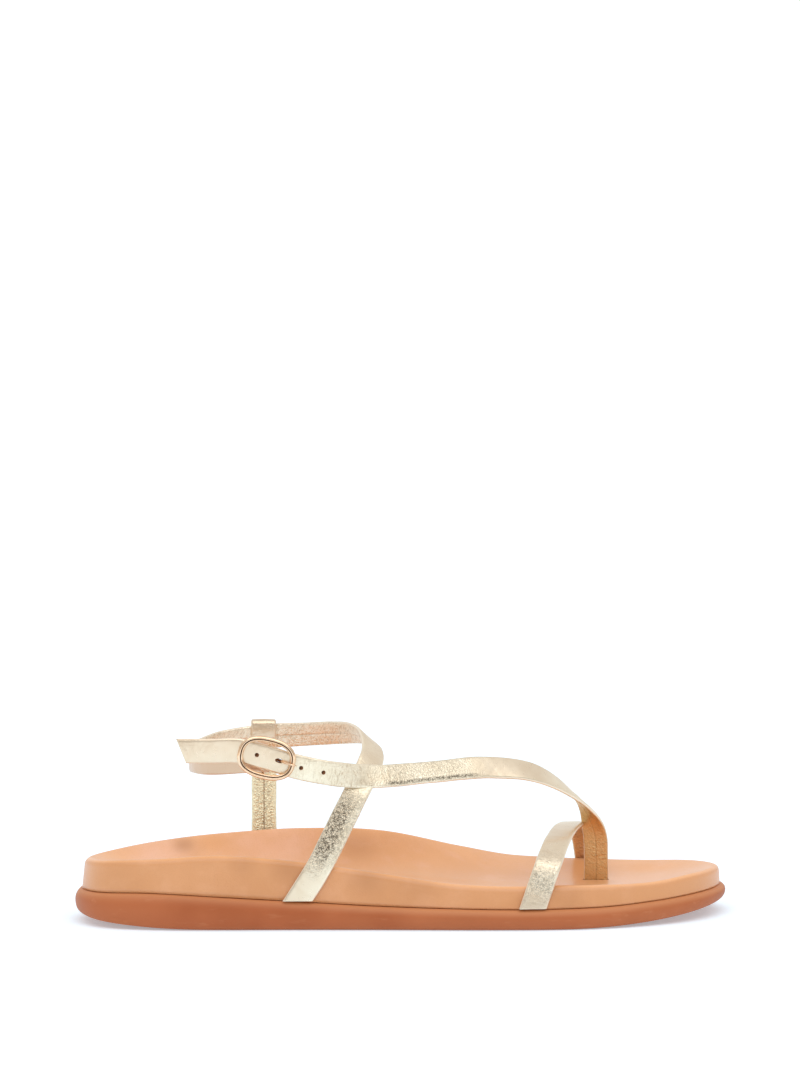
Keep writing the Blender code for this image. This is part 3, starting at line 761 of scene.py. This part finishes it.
def strap_piece(name, strap, width, creases, seed, level_ends=(), slant=0.0, round_ends=()):
    """A folded strip along the strap. Level ends, 0 the first and 1 the last, are cut to stand on the lip,
    and a slant shortens one edge of the last end. A crease is a dent whose x runs along the strap and whose
    y runs across it."""
    count = round(strap.length / RING_STEP) + 1
    along = np.linspace(0, strap.length, count)
    point, tangent, across, facing = strap.frames(along)
    offset, out, looks = strap_section(width)
    grid_along, grid_offset = along[:, None], offset[None, :]
    moved = np.zeros((count, len(offset)))
    for end in level_ends:
        near = np.maximum(0.0, 1 - np.abs(end * strap.length - along) / width)
        steep = np.where(near > 0, tangent[:, 2], 1.0)
        moved -= (near * across[:, 2] / steep)[:, None] * grid_offset
    near_tail = np.maximum(0.0, 1 - (strap.length - along) / width)
    moved -= slant * near_tail[:, None] * (0.5 + grid_offset / width)
    thin = np.ones(count)
    for end in round_ends:
        into = np.clip(np.abs(end * strap.length - along) / END_ROUND, 0, 1)
        thin = np.minimum(thin, np.maximum(END_LEAST, np.sqrt(1 - (1 - into) ** 2)))
    raised = out[None, :] * thin[:, None] - sunk_by(creases, grid_along, grid_offset)
    raised = raised + rippled(grid_along, grid_offset, seed)
    wander = 1 + sum(reach * np.sin(grid_along / length + turns * seed) for reach, length, turns in WANDERS)
    placed = point[:, None, :] + across[:, None, :] * (grid_offset * wander)[..., None]
    placed = placed + facing[:, None, :] * raised[..., None] + tangent[:, None, :] * moved[..., None]
    piece = mesh_piece(name, placed, tube_faces(count, len(offset)))
    # The foil is laid out by the place along and across the strap, and by which side a point looks to
    vertex = np.zeros(len(piece.data.loops), int)
    piece.data.loops.foreach_get("vertex_index", vertex)
    lay = np.stack(np.broadcast_arrays(grid_along + moved, grid_offset), -1).reshape(-1, 2)
    side = np.stack(np.broadcast_arrays(looks[None, :], moved * 0), -1).reshape(-1, 2)
    for layer, values in (("lay", lay), ("side", side)):
        piece.data.uv_layers.new(name=layer).uv.foreach_set("vector", values[vertex].ravel())
    return piece


def gold_leather(name, patches, seam_dark, lining, inner_worn=0.0, post=NO_POST):
    """Foil leather: pale gold, pebbled and finely wrinkled. Its dark specks are partly foil wear and partly
    painted shade for the dark reflections in its crinkles; creases carry painted shade, the edges a painted
    highlight, and patches a painted rose reflection of the bed with shade. The inner side of a toe post, as
    long as post, is browner with painted shade and a painted reflection of the bed, and hatched."""
    material, shader, wire = new_material(name)
    lay = wire.node("UVMap", {"uv_map": "lay"}, {})
    along, across = lay.axis("X"), lay.axis("Y")
    side = wire.node("UVMap", {"uv_map": "side"}, {}).axis("X")
    inner = 1 - side.step(-0.9, 0.2)
    edges = 1 - wire.maths("ABSOLUTE", side).step(0.3, 0.95)
    place = wire.node("CombineXYZ", {}, {0: along, 1: across, 2: side * SIDE_SPREAD})
    wear_and_painted_dark, folded, rosy = 0.0, 0.0, 0.0
    for patch in patches:
        inside = along.within(patch.start, patch.end, patch.soft)
        inside = inside * across.within(patch.low, patch.high, patch.soft * PATCH_SIDE_SOFTNESS)
        wear_and_painted_dark = wear_and_painted_dark + inside * patch.dark
        folded = folded + inside * patch.wrinkled
        rosy = rosy + inside * patch.rosy
    wear_and_painted_dark = wear_and_painted_dark.maths("MINIMUM", wear_and_painted_dark, 1.0) * (1 - inner * (1 - inner_worn))
    cloud = place.noise(0.16, 2)
    pebble = place.cells(1.2, "F1").step(0.08, 0.62)
    crackle = place.scaled((1.0, 0.62, 1.0)).cells(0.8, "DISTANCE_TO_EDGE").step(0.0, 0.14)
    leaning = {0: along + across * HATCH_LEAN, 1: across, 2: side * SIDE_SPREAD}
    wrinkle = place.scaled((0.95, 0.26, 0.6)).noise(1.0, 4, 0.6, 1.0)
    hatch = wire.node("CombineXYZ", {}, leaning).scaled((1.7, 0.6, 0.6)).noise(1.0, 2, 0.5, 0.6)
    coarse = place.noise(0.8, 3, 0.75, 0.3)
    fine = place.noise(1.9, 3, 0.7, 0.3)
    cracks = (1 - place.cells(1.3, "DISTANCE_TO_EDGE").step(0.03, 0.2)) * fine.step(0.42, 0.56)
    speck = (coarse * 0.6 + fine * 0.4).step(0.49, 0.555).largest(cracks * 0.9)
    valleys = wrinkle.step(0.5, 0.64)
    seam = inner * across.near(0.0, 0.34)
    gold = cloud.step(0.3, 0.7).mixed(*GOLD_TONES)
    # Patches painted rose and darker stand for the reflection of the tan bed and for shade.
    foil = rosy.mixed(gold, PAINTED_PINK_REFLECTION_GOLD)
    # The toe post's inner side is painted browner: its tan deepened with painted shade and a painted
    # reflection of the bed.
    on_post = inner * (1 - along.step(post, post + POST_FADE))
    lined = inner.mixed(foil, lining)
    post_tan_and_shade = on_post.mixed(lined, POST_TAN_AND_PAINTED_SHADE)
    # Wrinkle valleys and hatch lines are darkened with painted shade.
    lines = valleys * folded * 0.34 + (inner - on_post) * hatch.step(0.5, 0.64) * (0.34 - inner_worn * 0.3)
    lines = lines + on_post * (hatch.step(0.5, 0.66) * 0.3 + fine.step(0.5, 0.6) * 0.22)
    crease_shaded = lines.mixed(post_tan_and_shade, CREASE_PAINTED_SHADE)
    # Dark specks: part foil wear, part painted shade for the dark reflections in the crinkles.
    specked_with_painted_shade = (wear_and_painted_dark * (0.04 + speck * 0.96)).mixed(crease_shaded, WEAR_AND_PAINTED_SHADE_BROWN)
    # The rounded edges are painted paler, a painted highlight.
    pale = (edges * 0.55).mixed(specked_with_painted_shade, EDGE_PAINTED_HIGHLIGHT)
    height = (1 - pebble) * (0.012 + wear_and_painted_dark * 1.3 + folded * 0.3 + inner * 0.3) + crackle * (0.03 + wear_and_painted_dark * 0.8)
    height = height + wrinkle * (0.04 + wear_and_painted_dark * 0.25 + inner * 0.75 + folded) + hatch * on_post * 0.8
    height = height - wear_and_painted_dark * speck * 0.5
    feed(shader, {
        "Base Color": (seam * seam_dark).mixed(pale, SEAM_BROWN),
        "Metallic": 0.86 - wear_and_painted_dark * speck * 0.45 - edges * 0.35 - folded * 0.2,
        "Roughness": 0.25 + wrinkle * 0.07 + wear_and_painted_dark * 0.03 + edges * 0.12 + inner * 0.04,
        "Normal": bumped(wire, height, FOIL_RELIEF),
    }, Specular_IOR_Level=0.5)
    return material


def thong_rows():
    return (
        free_row(THONG_X, THONG_Y, THONG_FOOT, 0, 1, 0),
        free_row(THONG_X, THONG_Y, 20.5, 0, 1, 0),
        free_row(THONG_X - 0.7, 19.5, 31.6, 0.28, 0.9, 0.32),
        free_row(205.0, 16.7, 41.6, 0.74, 0.36, 0.57),
        free_row(197, 12.2, 49.7, 0.61, -0.15, 0.78),
        free_row(184, 5.2, 57.3, 0.38, -0.58, 0.72),
        free_row(166, -2.2, 60.4, 0.1, -0.82, 0.57),
        free_row(142, -13.1, 59.9, 0.1, -0.8, 0.6),
        free_row(118, -23.6, 59.6, 0, -0.92, 0.4),
        buckle_row(26, -0.6, -STRAP_DEPTH - 3.2),
        buckle_row(12, -0.8, -STRAP_DEPTH - 0.3),
        buckle_row(0, 0, -STRAP_DEPTH),
        buckle_row(-11, 0, -STRAP_DEPTH - 0.1),
        free_row(56, -33.3, 70.9, -0.1, -0.99, 0),
        free_row(41.8, -30, 70.5, -0.15, -0.98, 0.05),
    )


def thong_creases():
    """Wrinkles at the twist, a fan of short crinkles at the crossing, and curved ones in the tail."""
    fan = [Dent(122 + 2.1 * n, 1.4 - 0.3 * n, 2.4, 0.55, 66 - 9 * n, 0.05) for n in range(12)]
    twist = [Dent(24 + 2.6 * n, (-1) ** n * 0.8, 3.6, 0.6, 66 - 4 * n, 0.06) for n in range(6)]
    tail = [Dent(203 + 2.2 * n, 0.5 * n - 1.5, 3.2, 0.4, 58 + 7 * n, 0.06) for n in range(5)]
    bends = (
        Dent(40, 0.5, 8, 2.2, 20, -0.16),
        Dent(112, 3.2, 20, 1.0, 1, 0.07),
        Dent(158, 0.6, 5, 1.4, 70, 0.06),
        Dent(149, -0.4, 4, 1.0, 76, 0.06),
    )
    return [*fan, *twist, *tail, *bends]


def round_cutter(point, axes, length, width, behind, slant, material):
    """A punch through a strap: round, or long where the prong leans through it. behind is the share of its
    width to which the leather has closed up at the inner face, and slant how far the punch leans along the
    strap."""
    bm = bmesh.new()
    bmesh.ops.create_cone(
        bm, cap_ends=True, segments=PUNCH_SIDES, radius1=behind / 2, radius2=0.5, depth=PUNCH_REACH
    )
    turn = Matrix(axes).transposed()

    def put(corner):
        along = corner.x * length + slant * (PUNCH_REACH / 2 - corner.z)
        return Vector(point) + turn @ Vector((along, corner.y * width, corner.z))

    return cutter_from(bm, put, material)


thong = Strap(thong_rows())
thong_strap = strap_piece(
    "thong_strap", thong, THONG_WIDTH, thong_creases(), seed=3, slant=TAIL_SLANT, round_ends=(1,)
)
thong_strap.data.materials.append(gold_leather("thong_gold", (
    Patch(5, 22, -5, 5, 6, 0.0, 0.8),
    Patch(88, 128, 2.9, 4.3, 2.6, 0.85),
    Patch(92, 128, -5, 3.2, 8, 0.26, 0.15),
    Patch(54, 88, -5, 5, 8, 0.0, 0.0, 0.32),
    Patch(118, 150, -5, 5, 6, 0.04, 0.9),
    Patch(142, 170, -5, 5, 6, 0.05, 0.7),
    Patch(168, 240, -6, 6, 6, 0.0, 0.03, 0.42),
    Patch(206, 224, -5, 1, 5, 0.0, 0.25),
), seam_dark=0.3, lining=THONG_LINING, post=POST_LENGTH))
prong_hole = at_buckle(PRONG_HOLE_AT, 0, -STRAP_DEPTH)
buckle_axes = BUCKLE_TURN.transposed()
prong_hole_size = (PRONG_HOLE_LENGTH, PRONG_HOLE_WIDTH, PRONG_HOLE_BEHIND, 0.0)
apply_cut(thong_strap, round_cutter(prong_hole, buckle_axes, *prong_hole_size, RAW_EDGE))
prong_along = thong.nearest(prong_hole)
hole_size = (PUNCH_DIAMETER, PUNCH_DIAMETER, PUNCH_BEHIND, PUNCH_SLANT)
for number in PUNCHES:
    hole_at, *hole_axes = [row.tolist() for row in thong.frames(prong_along + number * PUNCH_PITCH)]
    apply_cut(thong_strap, round_cutter(hole_at, hole_axes, *hole_size, RAW_EDGE))
stands_for(thong_strap, "upper")

# Ankle strap
# The same folded strip. It is lasted in between footbed and outsole on the outer side, goes up under the
# thong strap, over the instep and round the ankle, and its end is folded round the buckle's bar.

ANKLE_WIDTH = 10.2
FOOT_CLEARANCE = 0.5
BAR_RADIUS = 0.7
WRAP_RADIUS = BAR_RADIUS + CLEARANCE + STRAP_THICKNESS / 2
BAR_OUT = -(STRAP_DEPTH + STRAP_THICKNESS + CLEARANCE + WRAP_RADIUS)
WRAP_DROP = 1.0
PRONG_SLOT_WIDTH = 2.2
PRONG_SLOT_LENGTH = 5 * WRAP_RADIUS
OUTER, INNER = 1, -1
ANKLE_LINING = (0.90, 0.77, 0.60)
BAND_ROW = free_row(74.6, 25.4, 69.6, 0, 0.99, 0.12)


def wall_row(x, side, z):
    """A row lying flat against the footbed's wall, on the outer side (1) or the inner side (-1)."""
    turn = side * station_at(x)
    flat = plan(turn, wall_inset(turn, z) - CLEARANCE - STRAP_THICKNESS / 2, 0.0)
    out = -inward(turn)
    return StrapRow(float(flat[0]), float(flat[1]), float(z), Vector((out[0], out[1], 0)))


def lip_row(x, side):
    """The foot of a strap, just above the outsole's lip."""
    return wall_row(x, side, lip_height(side * station_at(x), 0.0) + FOOT_CLEARANCE)


def ways_round(*degrees):
    return [(math.cos(math.radians(angle)), math.sin(math.radians(angle))) for angle in degrees]


def ankle_rows():
    wrap = [
        buckle_row(WRAP_RADIUS * side, -WRAP_DROP, BAR_OUT + WRAP_RADIUS * up, (side, 0, up))
        for side, up in ways_round(90, 45, 0, -45, -90)
    ]
    return (
        lip_row(89.7, OUTER),
        wall_row(97.6, OUTER, 24),
        free_row(106.4, -30.5, 41.2, 0, -0.97, 0.2),
        free_row(113.2, -27.3, 54.6, 0.1, -0.9, 0.4),
        free_row(115.7, -24.2, 59.4, 0.1, -0.9, 0.42),
        free_row(118, -18.0, 63.6, 0.35, -0.8, 0.48),
        free_row(119.2, -11.0, 67.5, 0.5, -0.7, 0.5),
        free_row(117.8, -3.5, 71.4, 0.7, -0.4, 0.6),
        free_row(112.5, 7, 73.0, 0.75, 0.3, 0.55),
        free_row(104, 16.5, 72.2, 0.5, 0.8, 0.35),
        free_row(94, 21.8, 71.1, 0.2, 0.95, 0.24),
        BAND_ROW,
        free_row(58, 20.9, 67.6, -0.35, 0.93, 0.1),
        free_row(49, 9.5, 65.3, -0.8, 0.6, 0),
        free_row(46.4, -2.5, 64.3, -1, 0, 0),
        free_row(49, -16, 64.9, -0.8, -0.6, 0),
        free_row(55.5, -26, 65.6, -0.35, -0.93, 0),
        free_row(64, -31, 66.6, -0.1, -0.99, 0),
        buckle_row(-4.6, -2.4, BAR_OUT + WRAP_RADIUS - 0.4),
        *wrap,
        buckle_row(-3.6, -2.0, BAR_OUT - WRAP_RADIUS, (0, 0, -1)),
        buckle_row(-8.5, -3.6, BAR_OUT - WRAP_RADIUS + 1.4, (0, 0, -1)),
    )


def ankle_creases():
    """Wrinkles where the strip leaves the sole, at the crossing, and round its tighter bends."""
    foot = [Dent(20 + 3.4 * n, (-1) ** n * 0.7, 3.4, 0.65, 74 - 5 * n, 0.03) for n in range(5)]
    crossing = [Dent(43 + 2.4 * n, -0.8 + 0.3 * n, 3.4, 0.6, 52 + 8 * n, 0.07) for n in range(4)]
    instep = [Dent(76 + 4.6 * n, (-1) ** n * 0.6, 4.2, 0.7, 84 - 3 * n, 0.06) for n in range(6)]
    heel = [Dent(158 + 6.4 * n, (-1) ** n * 0.5, 4.2, 0.7, 82 + 2 * n, 0.06) for n in range(8)]
    tucked = Dent(58, 0, 8, 12, 0, 1.3)
    return [*foot, *crossing, *instep, *heel, tucked]


ankle_strap = strap_piece(
    "ankle_strap", Strap(ankle_rows()), ANKLE_WIDTH, ankle_creases(), seed=8, level_ends=(0,)
)
ankle_strap.data.materials.append(gold_leather("ankle_gold", (
    Patch(14, 44, -1.6, 4.8, 6, 0.52, 0.3, 0.1),
    Patch(18, 48, -5, 5, 6, 0.38, 0.3, 0.1),
    Patch(-9, 14, -6, 6, 5, 0.0, 0.0, 0.18),
    Patch(46, 62, -5, 5, 4, 0.10, 0.5),
    Patch(62, 90, -5, 5, 6, 0.0, 0.2, 0.25),
    Patch(84, 130, -5, 5, 8, 0.0, 0.5),
    Patch(180, 236, -6, 6, 6, 0.0, 0.1, 1.0),
), seam_dark=0.22, lining=ANKLE_LINING))
prong_slot = (PRONG_SLOT_LENGTH, PRONG_SLOT_WIDTH, PRONG_SLOT_LENGTH)
apply_cut(ankle_strap, box_cutter(at_buckle(0, 0, BAR_OUT), prong_slot, BUCKLE_TURN, RAW_EDGE))
stands_for(ankle_strap, "upper")

# Side loop
# A folded strip on the inner side, lasted in under the footbed like the ankle strap's foot. It goes up, over
# the ankle strap's upper edge and down behind it, and is sewn and pressed onto it.

LOOP_WIDTH = 10.2
JOIN_PRESS = 0.15
LOOP_LINING = (0.95, 0.89, 0.64)


def loop_rows():
    band = Vector((BAND_ROW.x, BAND_ROW.y, BAND_ROW.z))
    out = BAND_ROW.facing.normalized()
    up = Vector((0, -out.z, out.y))
    legs = STRAP_THICKNESS - JOIN_PRESS
    fold_foot = ANKLE_WIDTH / 2 - JOIN_PRESS

    def by_band(side, rise, facing):
        return StrapRow(*(band + out * side + up * rise), facing)

    fold = [
        by_band(legs * side, fold_foot + legs * lift, out * side + up * lift)
        for side, lift in ways_round(0, 45, 90, 135, 180)
    ]
    return (
        lip_row(band.x, INNER),
        wall_row(band.x, INNER, 28),
        by_band(legs + 0.4, -10, out),
        *fold,
        by_band(-legs, -2.8, -out),
        by_band(0.9 - legs, -6.2, -out),
        by_band(0.25, -9, -out),
    )


loop_creases = [Dent(20 + 4.2 * n, (-1) ** n * 0.6, 3.8, 0.7, 82 - 4 * n, 0.07) for n in range(7)]
side_loop = strap_piece(
    "side_loop", Strap(loop_rows()), LOOP_WIDTH, loop_creases, seed=12, level_ends=(0,), round_ends=(1,)
)
side_loop.data.materials.append(gold_leather("loop_gold", (
    Patch(4, 46, -4, 4, 6, 0.52, 0.5),
    Patch(52, 74, -6, 6, 3, 0.0, 0.4, 0.5),
), seam_dark=0.85, lining=LOOP_LINING, inner_worn=0.75))
stands_for(side_loop, "upper")

# Toe strap
# A folded strip of the same foil leather over the toes, lasted in between footbed and outsole at both sides.
# The thong strap's foot stands just ahead of it, towards the toe.

TOE_WIDTH = 10.4
# The toe strap's inner side is its lining tan deepened with painted shade and a painted reflection of the
# bed.
TOE_LINING_AND_PAINTED_SHADE = (0.80, 0.58, 0.35)


def toe_rows():
    return (
        lip_row(182.4, OUTER),
        wall_row(185, OUTER, 15.5),
        free_row(187.6, -33.2, 23.5, 0, -0.9, 0.4),
        free_row(191.2, -22.3, 30.9, 0, -0.5, 0.87),
        free_row(194.4, -6, 34.0, 0, -0.15, 1),
        free_row(198.2, 14.3, 34.7, 0, 0.05, 1),
        free_row(202.2, 34.5, 32.2, 0, 0.3, 0.95),
        free_row(205.8, 48.5, 25.4, 0, 0.8, 0.6),
        wall_row(207.4, INNER, 15.5),
        lip_row(207.6, INNER),
    )


def toe_creases():
    """Short wrinkles where the strip bends up from the sole, and a few across its top."""
    foot = [Dent(6 + 2.6 * n, (-1) ** n * 0.8, 3.4, 0.6, 78 - 6 * n, 0.07) for n in range(5)]
    top = [Dent(38 + 9.5 * n, (-1) ** n * 1.0, 4.0, 0.9, 70 + 5 * n, 0.03) for n in range(5)]
    far = [Dent(86 + 4.0 * n, (-1) ** n * 0.6, 4.0, 0.7, 84 - 2 * n, 0.09) for n in range(7)]
    return [*foot, *top, *far]


toe_strap = strap_piece(
    "toe_strap", Strap(toe_rows()), TOE_WIDTH, toe_creases(), seed=21, level_ends=(0, 1)
)
toe_strap.data.materials.append(gold_leather("toe_gold", (
    Patch(6, 15, -4.6, 4.6, 4, 0.5, 0.4, 0.25),
    Patch(15, 25, -5, 5, 4, 0.15, 0.6, 0.1),
    Patch(-9, 7, -6, 6, 3, 0.06, 0.1, 0.35),
    Patch(20, 60, -5, 5, 6, 0.0, 0.05, 0.24),
    Patch(80, 112, -4.2, 4.2, 5, 0.4, 0.8),
), seam_dark=0.3, lining=TOE_LINING_AND_PAINTED_SHADE))
stands_for(toe_strap, "upper")

# Buckle frame
# A plain oval ring of rose-gold plated brass, cast with a shallow groove round its face. The ankle strap's
# end is folded round a thin bar behind the ring, which is soldered to it above and below.

BUCKLE_LENGTH = 23.0
BUCKLE_HEIGHT = 16.8
BUCKLE_ROUNDNESS = 2.5
RING_COLUMNS = 220
RING_SIDES = 48
BAR_CORNER = 1.0
BAR_CORNER_CUT = 0.3
BAR_SIDES = 20
BAR_RINGS = 60
GROOVE_AT = math.radians(104)
GROOVE_DEPTH = 0.34
GROOVE_REACH = 0.24
GROOVE_DARK = 0.27
ROSE_GOLD_TONES = ((0.83, 0.57, 0.37), (0.90, 0.67, 0.47))
GROOVE_PAINTED_SHADE_TONES = ((0.06, 0.03, 0.016), (0.20, 0.10, 0.05))
ALONG, ACROSS, OUT = 0, 1, 2


def angles_round(sides):
    return np.arange(sides) * 2 * math.pi / sides


def bent_wire(route, plane, radius, sides, closed):
    """A wire bent along a flat route in two of the buckle's axes. Its radius is one number, or one for each
    side, or a column of one for each point of the route."""
    first, second = [np.array(BUCKLE_TURN.col[axis]) for axis in plane]
    ahead = np.roll(route, -1, axis=0) - np.roll(route, 1, axis=0) if closed else np.gradient(route, axis=0)
    ahead = unit(ahead)
    centres = np.array(BUCKLE_CENTRE) + route[:, :1] * first + route[:, 1:] * second
    side = ahead[:, 1:] * first - ahead[:, :1] * second
    across, rise = radius * np.cos(angles_round(sides)), radius * np.sin(angles_round(sides))
    placed = centres[:, None, :] + side[:, None, :] * across[..., None]
    placed = placed + np.cross(first, second) * rise[..., None]
    faces = grid_faces(len(route), sides, True, True) if closed else tube_faces(len(route), sides)
    return placed.reshape(-1, 3), faces


def rose_gold(name, roughness):
    material, shader, wire = new_material(name)
    place = wire.place()
    haze = place.noise(260, 3, 0.6)
    hairline = place.scaled((900, 900, 5200)).noise(1.0, 2, 0.5)
    feed(shader, {
        "Base Color": haze.step(0.35, 0.7).mixed(*ROSE_GOLD_TONES),
        "Roughness": roughness + haze * 0.07,
        "Normal": bumped(wire, hairline, 0.004),
    }, Metallic=1.0)
    return material


def ring_mesh():
    angle = angles_round(RING_COLUMNS)
    power = 2 / BUCKLE_ROUNDNESS
    half_length = BUCKLE_LENGTH / 2 - WIRE_RADIUS
    half_height = BUCKLE_HEIGHT / 2 - WIRE_RADIUS
    along = half_length * np.copysign(np.abs(np.cos(angle)) ** power, np.cos(angle))
    up = half_height * np.copysign(np.abs(np.sin(angle)) ** power, np.sin(angle))
    groove = np.exp(-(((angles_round(RING_SIDES) - GROOVE_AT) / GROOVE_REACH) ** 2))
    radius = WIRE_RADIUS * (1 - GROOVE_DEPTH * groove)
    return bent_wire(np.column_stack((along, up)), (ALONG, ACROSS), radius, RING_SIDES, True)


def bar_mesh():
    half_height = BUCKLE_HEIGHT / 2 - WIRE_RADIUS
    cut = BAR_CORNER * BAR_CORNER_CUT
    leg = (
        (half_height, 0.0),
        (half_height, BAR_OUT + BAR_CORNER),
        (half_height - cut, BAR_OUT + cut),
        (half_height - BAR_CORNER, BAR_OUT),
    )
    route = np.array([*((-across, out) for across, out in leg), *leg[::-1]])
    places = lengths_along(route)
    along = np.linspace(0, places[-1], BAR_RINGS)
    flat = np.column_stack([np.interp(along, places, axis) for axis in route.T])
    return bent_wire(flat, (ACROSS, OUT), BAR_RADIUS, BAR_SIDES, False)


def groove_shade():
    """The plating in the ring's groove, painted dark with shade for the dark reflections of its step."""
    material, shader, wire = new_material("groove_shade")
    shade_mottle = wire.place().noise(700, 3, 0.6)
    feed(shader, {
        "Base Color": shade_mottle.step(0.35, 0.7).mixed(*GROOVE_PAINTED_SHADE_TONES),
        "Roughness": 0.22 + shade_mottle * 0.16,
    }, Metallic=0.9)
    return material


ring_points, ring_faces = ring_mesh()
bar_points, bar_faces = bar_mesh()
joined_faces = ring_faces + [tuple(index + len(ring_points) for index in face) for face in bar_faces]
joined_points = np.concatenate((ring_points, bar_points))
buckle_frame = mesh_piece("buckle_ring", joined_points, joined_faces)
buckle_frame.data.materials.append(rose_gold("rose_gold", roughness=0.08))
buckle_frame.data.materials.append(groove_shade())
# The faces along the groove take the painted shade.
for face in buckle_frame.data.polygons[:len(ring_faces)]:
    face_turn = (face.index % RING_SIDES + 0.5) * 2 * math.pi / RING_SIDES
    if abs(face_turn - GROOVE_AT) < GROOVE_DARK:
        face.material_index = 1
stands_for(buckle_frame, "buckle_frame")

# Buckle prong
# A rose-gold pin bent from wire: its eye is curled round the bar, its shaft leans out through the hole in the
# thong strap, and its tapered tip rests on the ring's front.

PRONG_RADIUS = 0.55
PRONG_TIP = 1.7
PRONG_TIP_RADIUS = 0.34
PRONG_RINGS = 130
PRONG_SIDES = 18
PRONG_TAPER = (0.72, 1.0)
PRONG_ROUNDING = (0.975, 1.0)
PRONG_ROUNDED = 0.85
EYE_START = math.radians(415)
EYE_END = math.radians(95)
EYE_POINTS = 36


def prong_mesh():
    rim = BUCKLE_LENGTH / 2 - WIRE_RADIUS
    rest = WIRE_RADIUS + CLEARANCE + PRONG_RADIUS
    eye_radius = BAR_RADIUS + CLEARANCE + PRONG_RADIUS
    curl = np.linspace(EYE_START, EYE_END, EYE_POINTS)
    eye = np.column_stack((eye_radius * np.cos(curl), BAR_OUT + eye_radius * np.sin(curl)))
    shaft = np.array((
        (eye_radius * 0.4, BAR_OUT + eye_radius),
        (PRONG_HOLE_AT * 0.6, BAR_OUT * 0.75),
        (PRONG_HOLE_AT, -STRAP_DEPTH - 0.2),
        (PRONG_HOLE_AT + 2.2, 0.0),
        (rim - 1.2, rest - 0.5),
        (rim, rest + 0.1),
        (rim + PRONG_TIP, rest - 0.3),
    ))
    route = np.concatenate((eye, shaft))
    places = lengths_along(route)
    share = np.linspace(0, 1, PRONG_RINGS)
    flat = through(places, route, share * places[-1])
    radius = PRONG_RADIUS + (PRONG_TIP_RADIUS - PRONG_RADIUS) * smooth(share, *PRONG_TAPER)
    radius = radius * np.sqrt(1 - smooth(share, *PRONG_ROUNDING) ** 2 * PRONG_ROUNDED)
    return bent_wire(flat, (ALONG, OUT), radius[:, None], PRONG_SIDES, False)


buckle_prong = mesh_piece("buckle_pin", *prong_mesh())
buckle_prong.data.materials.append(rose_gold("rose_gold_pin", roughness=0.1))
stands_for(buckle_prong, "buckle_prong")

# Studio
# A white floor that runs out of sight, pale walls, a broad softbox in front and above, a dim room behind the
# camera that the foil and the plating mirror, and a long lens at the outer side, a little above the straps.

FLOOR_SIZE = 12.0
FLOOR_SEGMENTS = 4
FLOOR_DROP = 0.1
FLOOR_GLOW = 0.32
FLOOR_FAR = (0.25, 1.2)
FLOOR_SHADOW_TINT_TONES = ((0.77, 0.866, 0.948), (0.79, 0.881, 0.958))
FLOOR_GLOW_AND_SHADOW_TINT_TONES = ((0.87, 0.985, 1.07), (1.9, 1.9, 1.9))
WALL_WHITES = ((0.84, 0.84, 0.84), (1.1, 1.1, 1.1))
DIM_ROOM = (0.43, 0.42, 0.405)
SOFTBOX_PLACE = Vector((0.0, -0.78, 1.12))
SOFTBOX_AIM = Vector((0.0, 0.0, 0.03))
SOFTBOX_SIZE = (1.7, 1.15)
SOFTBOX_POWER = 7.4
AIM = Vector((130, 0, 36.5))
AIM_ROW = 826
IMAGE_HEIGHT = 1067
LENS = 151.0
SENSOR = 36.0
CAMERA_DISTANCE = 1800.0
CAMERA_RISE = math.radians(8)


# The floor glows, more strongly far off so that it reads white; near the shoe its colour and glow are tinted
# blue, a painted cool tint in the shoe's shadow.
def floor_white():
    material, shader, wire = new_material("floor_white")
    place = wire.place()
    far = place.gap_to((0, 0, 0)).step(*FLOOR_FAR)
    feed(shader, {
        "Base Color": place.noise(3, 2).mixed(*FLOOR_SHADOW_TINT_TONES),
        "Emission Color": far.mixed(*FLOOR_GLOW_AND_SHADOW_TINT_TONES),
    }, Roughness=0.9, Specular_IOR_Level=0.1, Emission_Strength=FLOOR_GLOW)
    return material


bm = bmesh.new()
bmesh.ops.create_grid(bm, x_segments=FLOOR_SEGMENTS, y_segments=FLOOR_SEGMENTS, size=FLOOR_SIZE / 2)
floor = plain_object("floor", bm, floor_white())
floor.location.z = -FLOOR_DROP * MM


def studio_world():
    world = bpy.data.worlds.new("studio")
    world.use_nodes = True
    wire = Wire(world.node_tree)
    way = wire.node("TexCoord", {}, {}, output="Generated")
    rise = way.axis("Z")
    outer = way.axis("Y") * -1
    band = rise.step(0.055, 0.12) * (1 - rise.step(0.40, 0.60))
    horizon = 1 - rise.step(0.04, 0.10)
    walls = horizon.mixed(*WALL_WHITES)
    sky = (band * outer.step(0.05, 0.55)).mixed(walls, DIM_ROOM)
    background = world.node_tree.nodes["Background"]
    world.node_tree.links.new(sky.socket, background.inputs["Color"])
    bpy.context.scene.world = world


studio_world()
light = bpy.data.lights.new("front_box", "AREA")
light.shape = "RECTANGLE"
light.size, light.size_y = SOFTBOX_SIZE
light.energy = SOFTBOX_POWER
lamp = new_object("front_box", light)
lamp.location = SOFTBOX_PLACE
lamp.rotation_mode = "QUATERNION"
lamp.rotation_quaternion = (SOFTBOX_AIM - SOFTBOX_PLACE).to_track_quat("-Z", "Y")
bpy.context.scene.view_settings.view_transform = "Standard"

pixels = LENS / SENSOR * IMAGE_HEIGHT
look_down = CAMERA_RISE - math.atan((AIM_ROW - IMAGE_HEIGHT / 2) / pixels)
camera_data = bpy.data.cameras.new("camera")
camera_data.lens = LENS
camera_data.sensor_width = SENSOR
camera = new_object("camera", camera_data)
back = Vector((0, -math.cos(CAMERA_RISE), math.sin(CAMERA_RISE)))
stand = Matrix.Translation((AIM + back * CAMERA_DISTANCE) * MM)
camera.matrix_world = PLACING @ stand @ Matrix.Rotation(math.pi / 2 - look_down, 4, "X")
bpy.context.scene.camera = camera
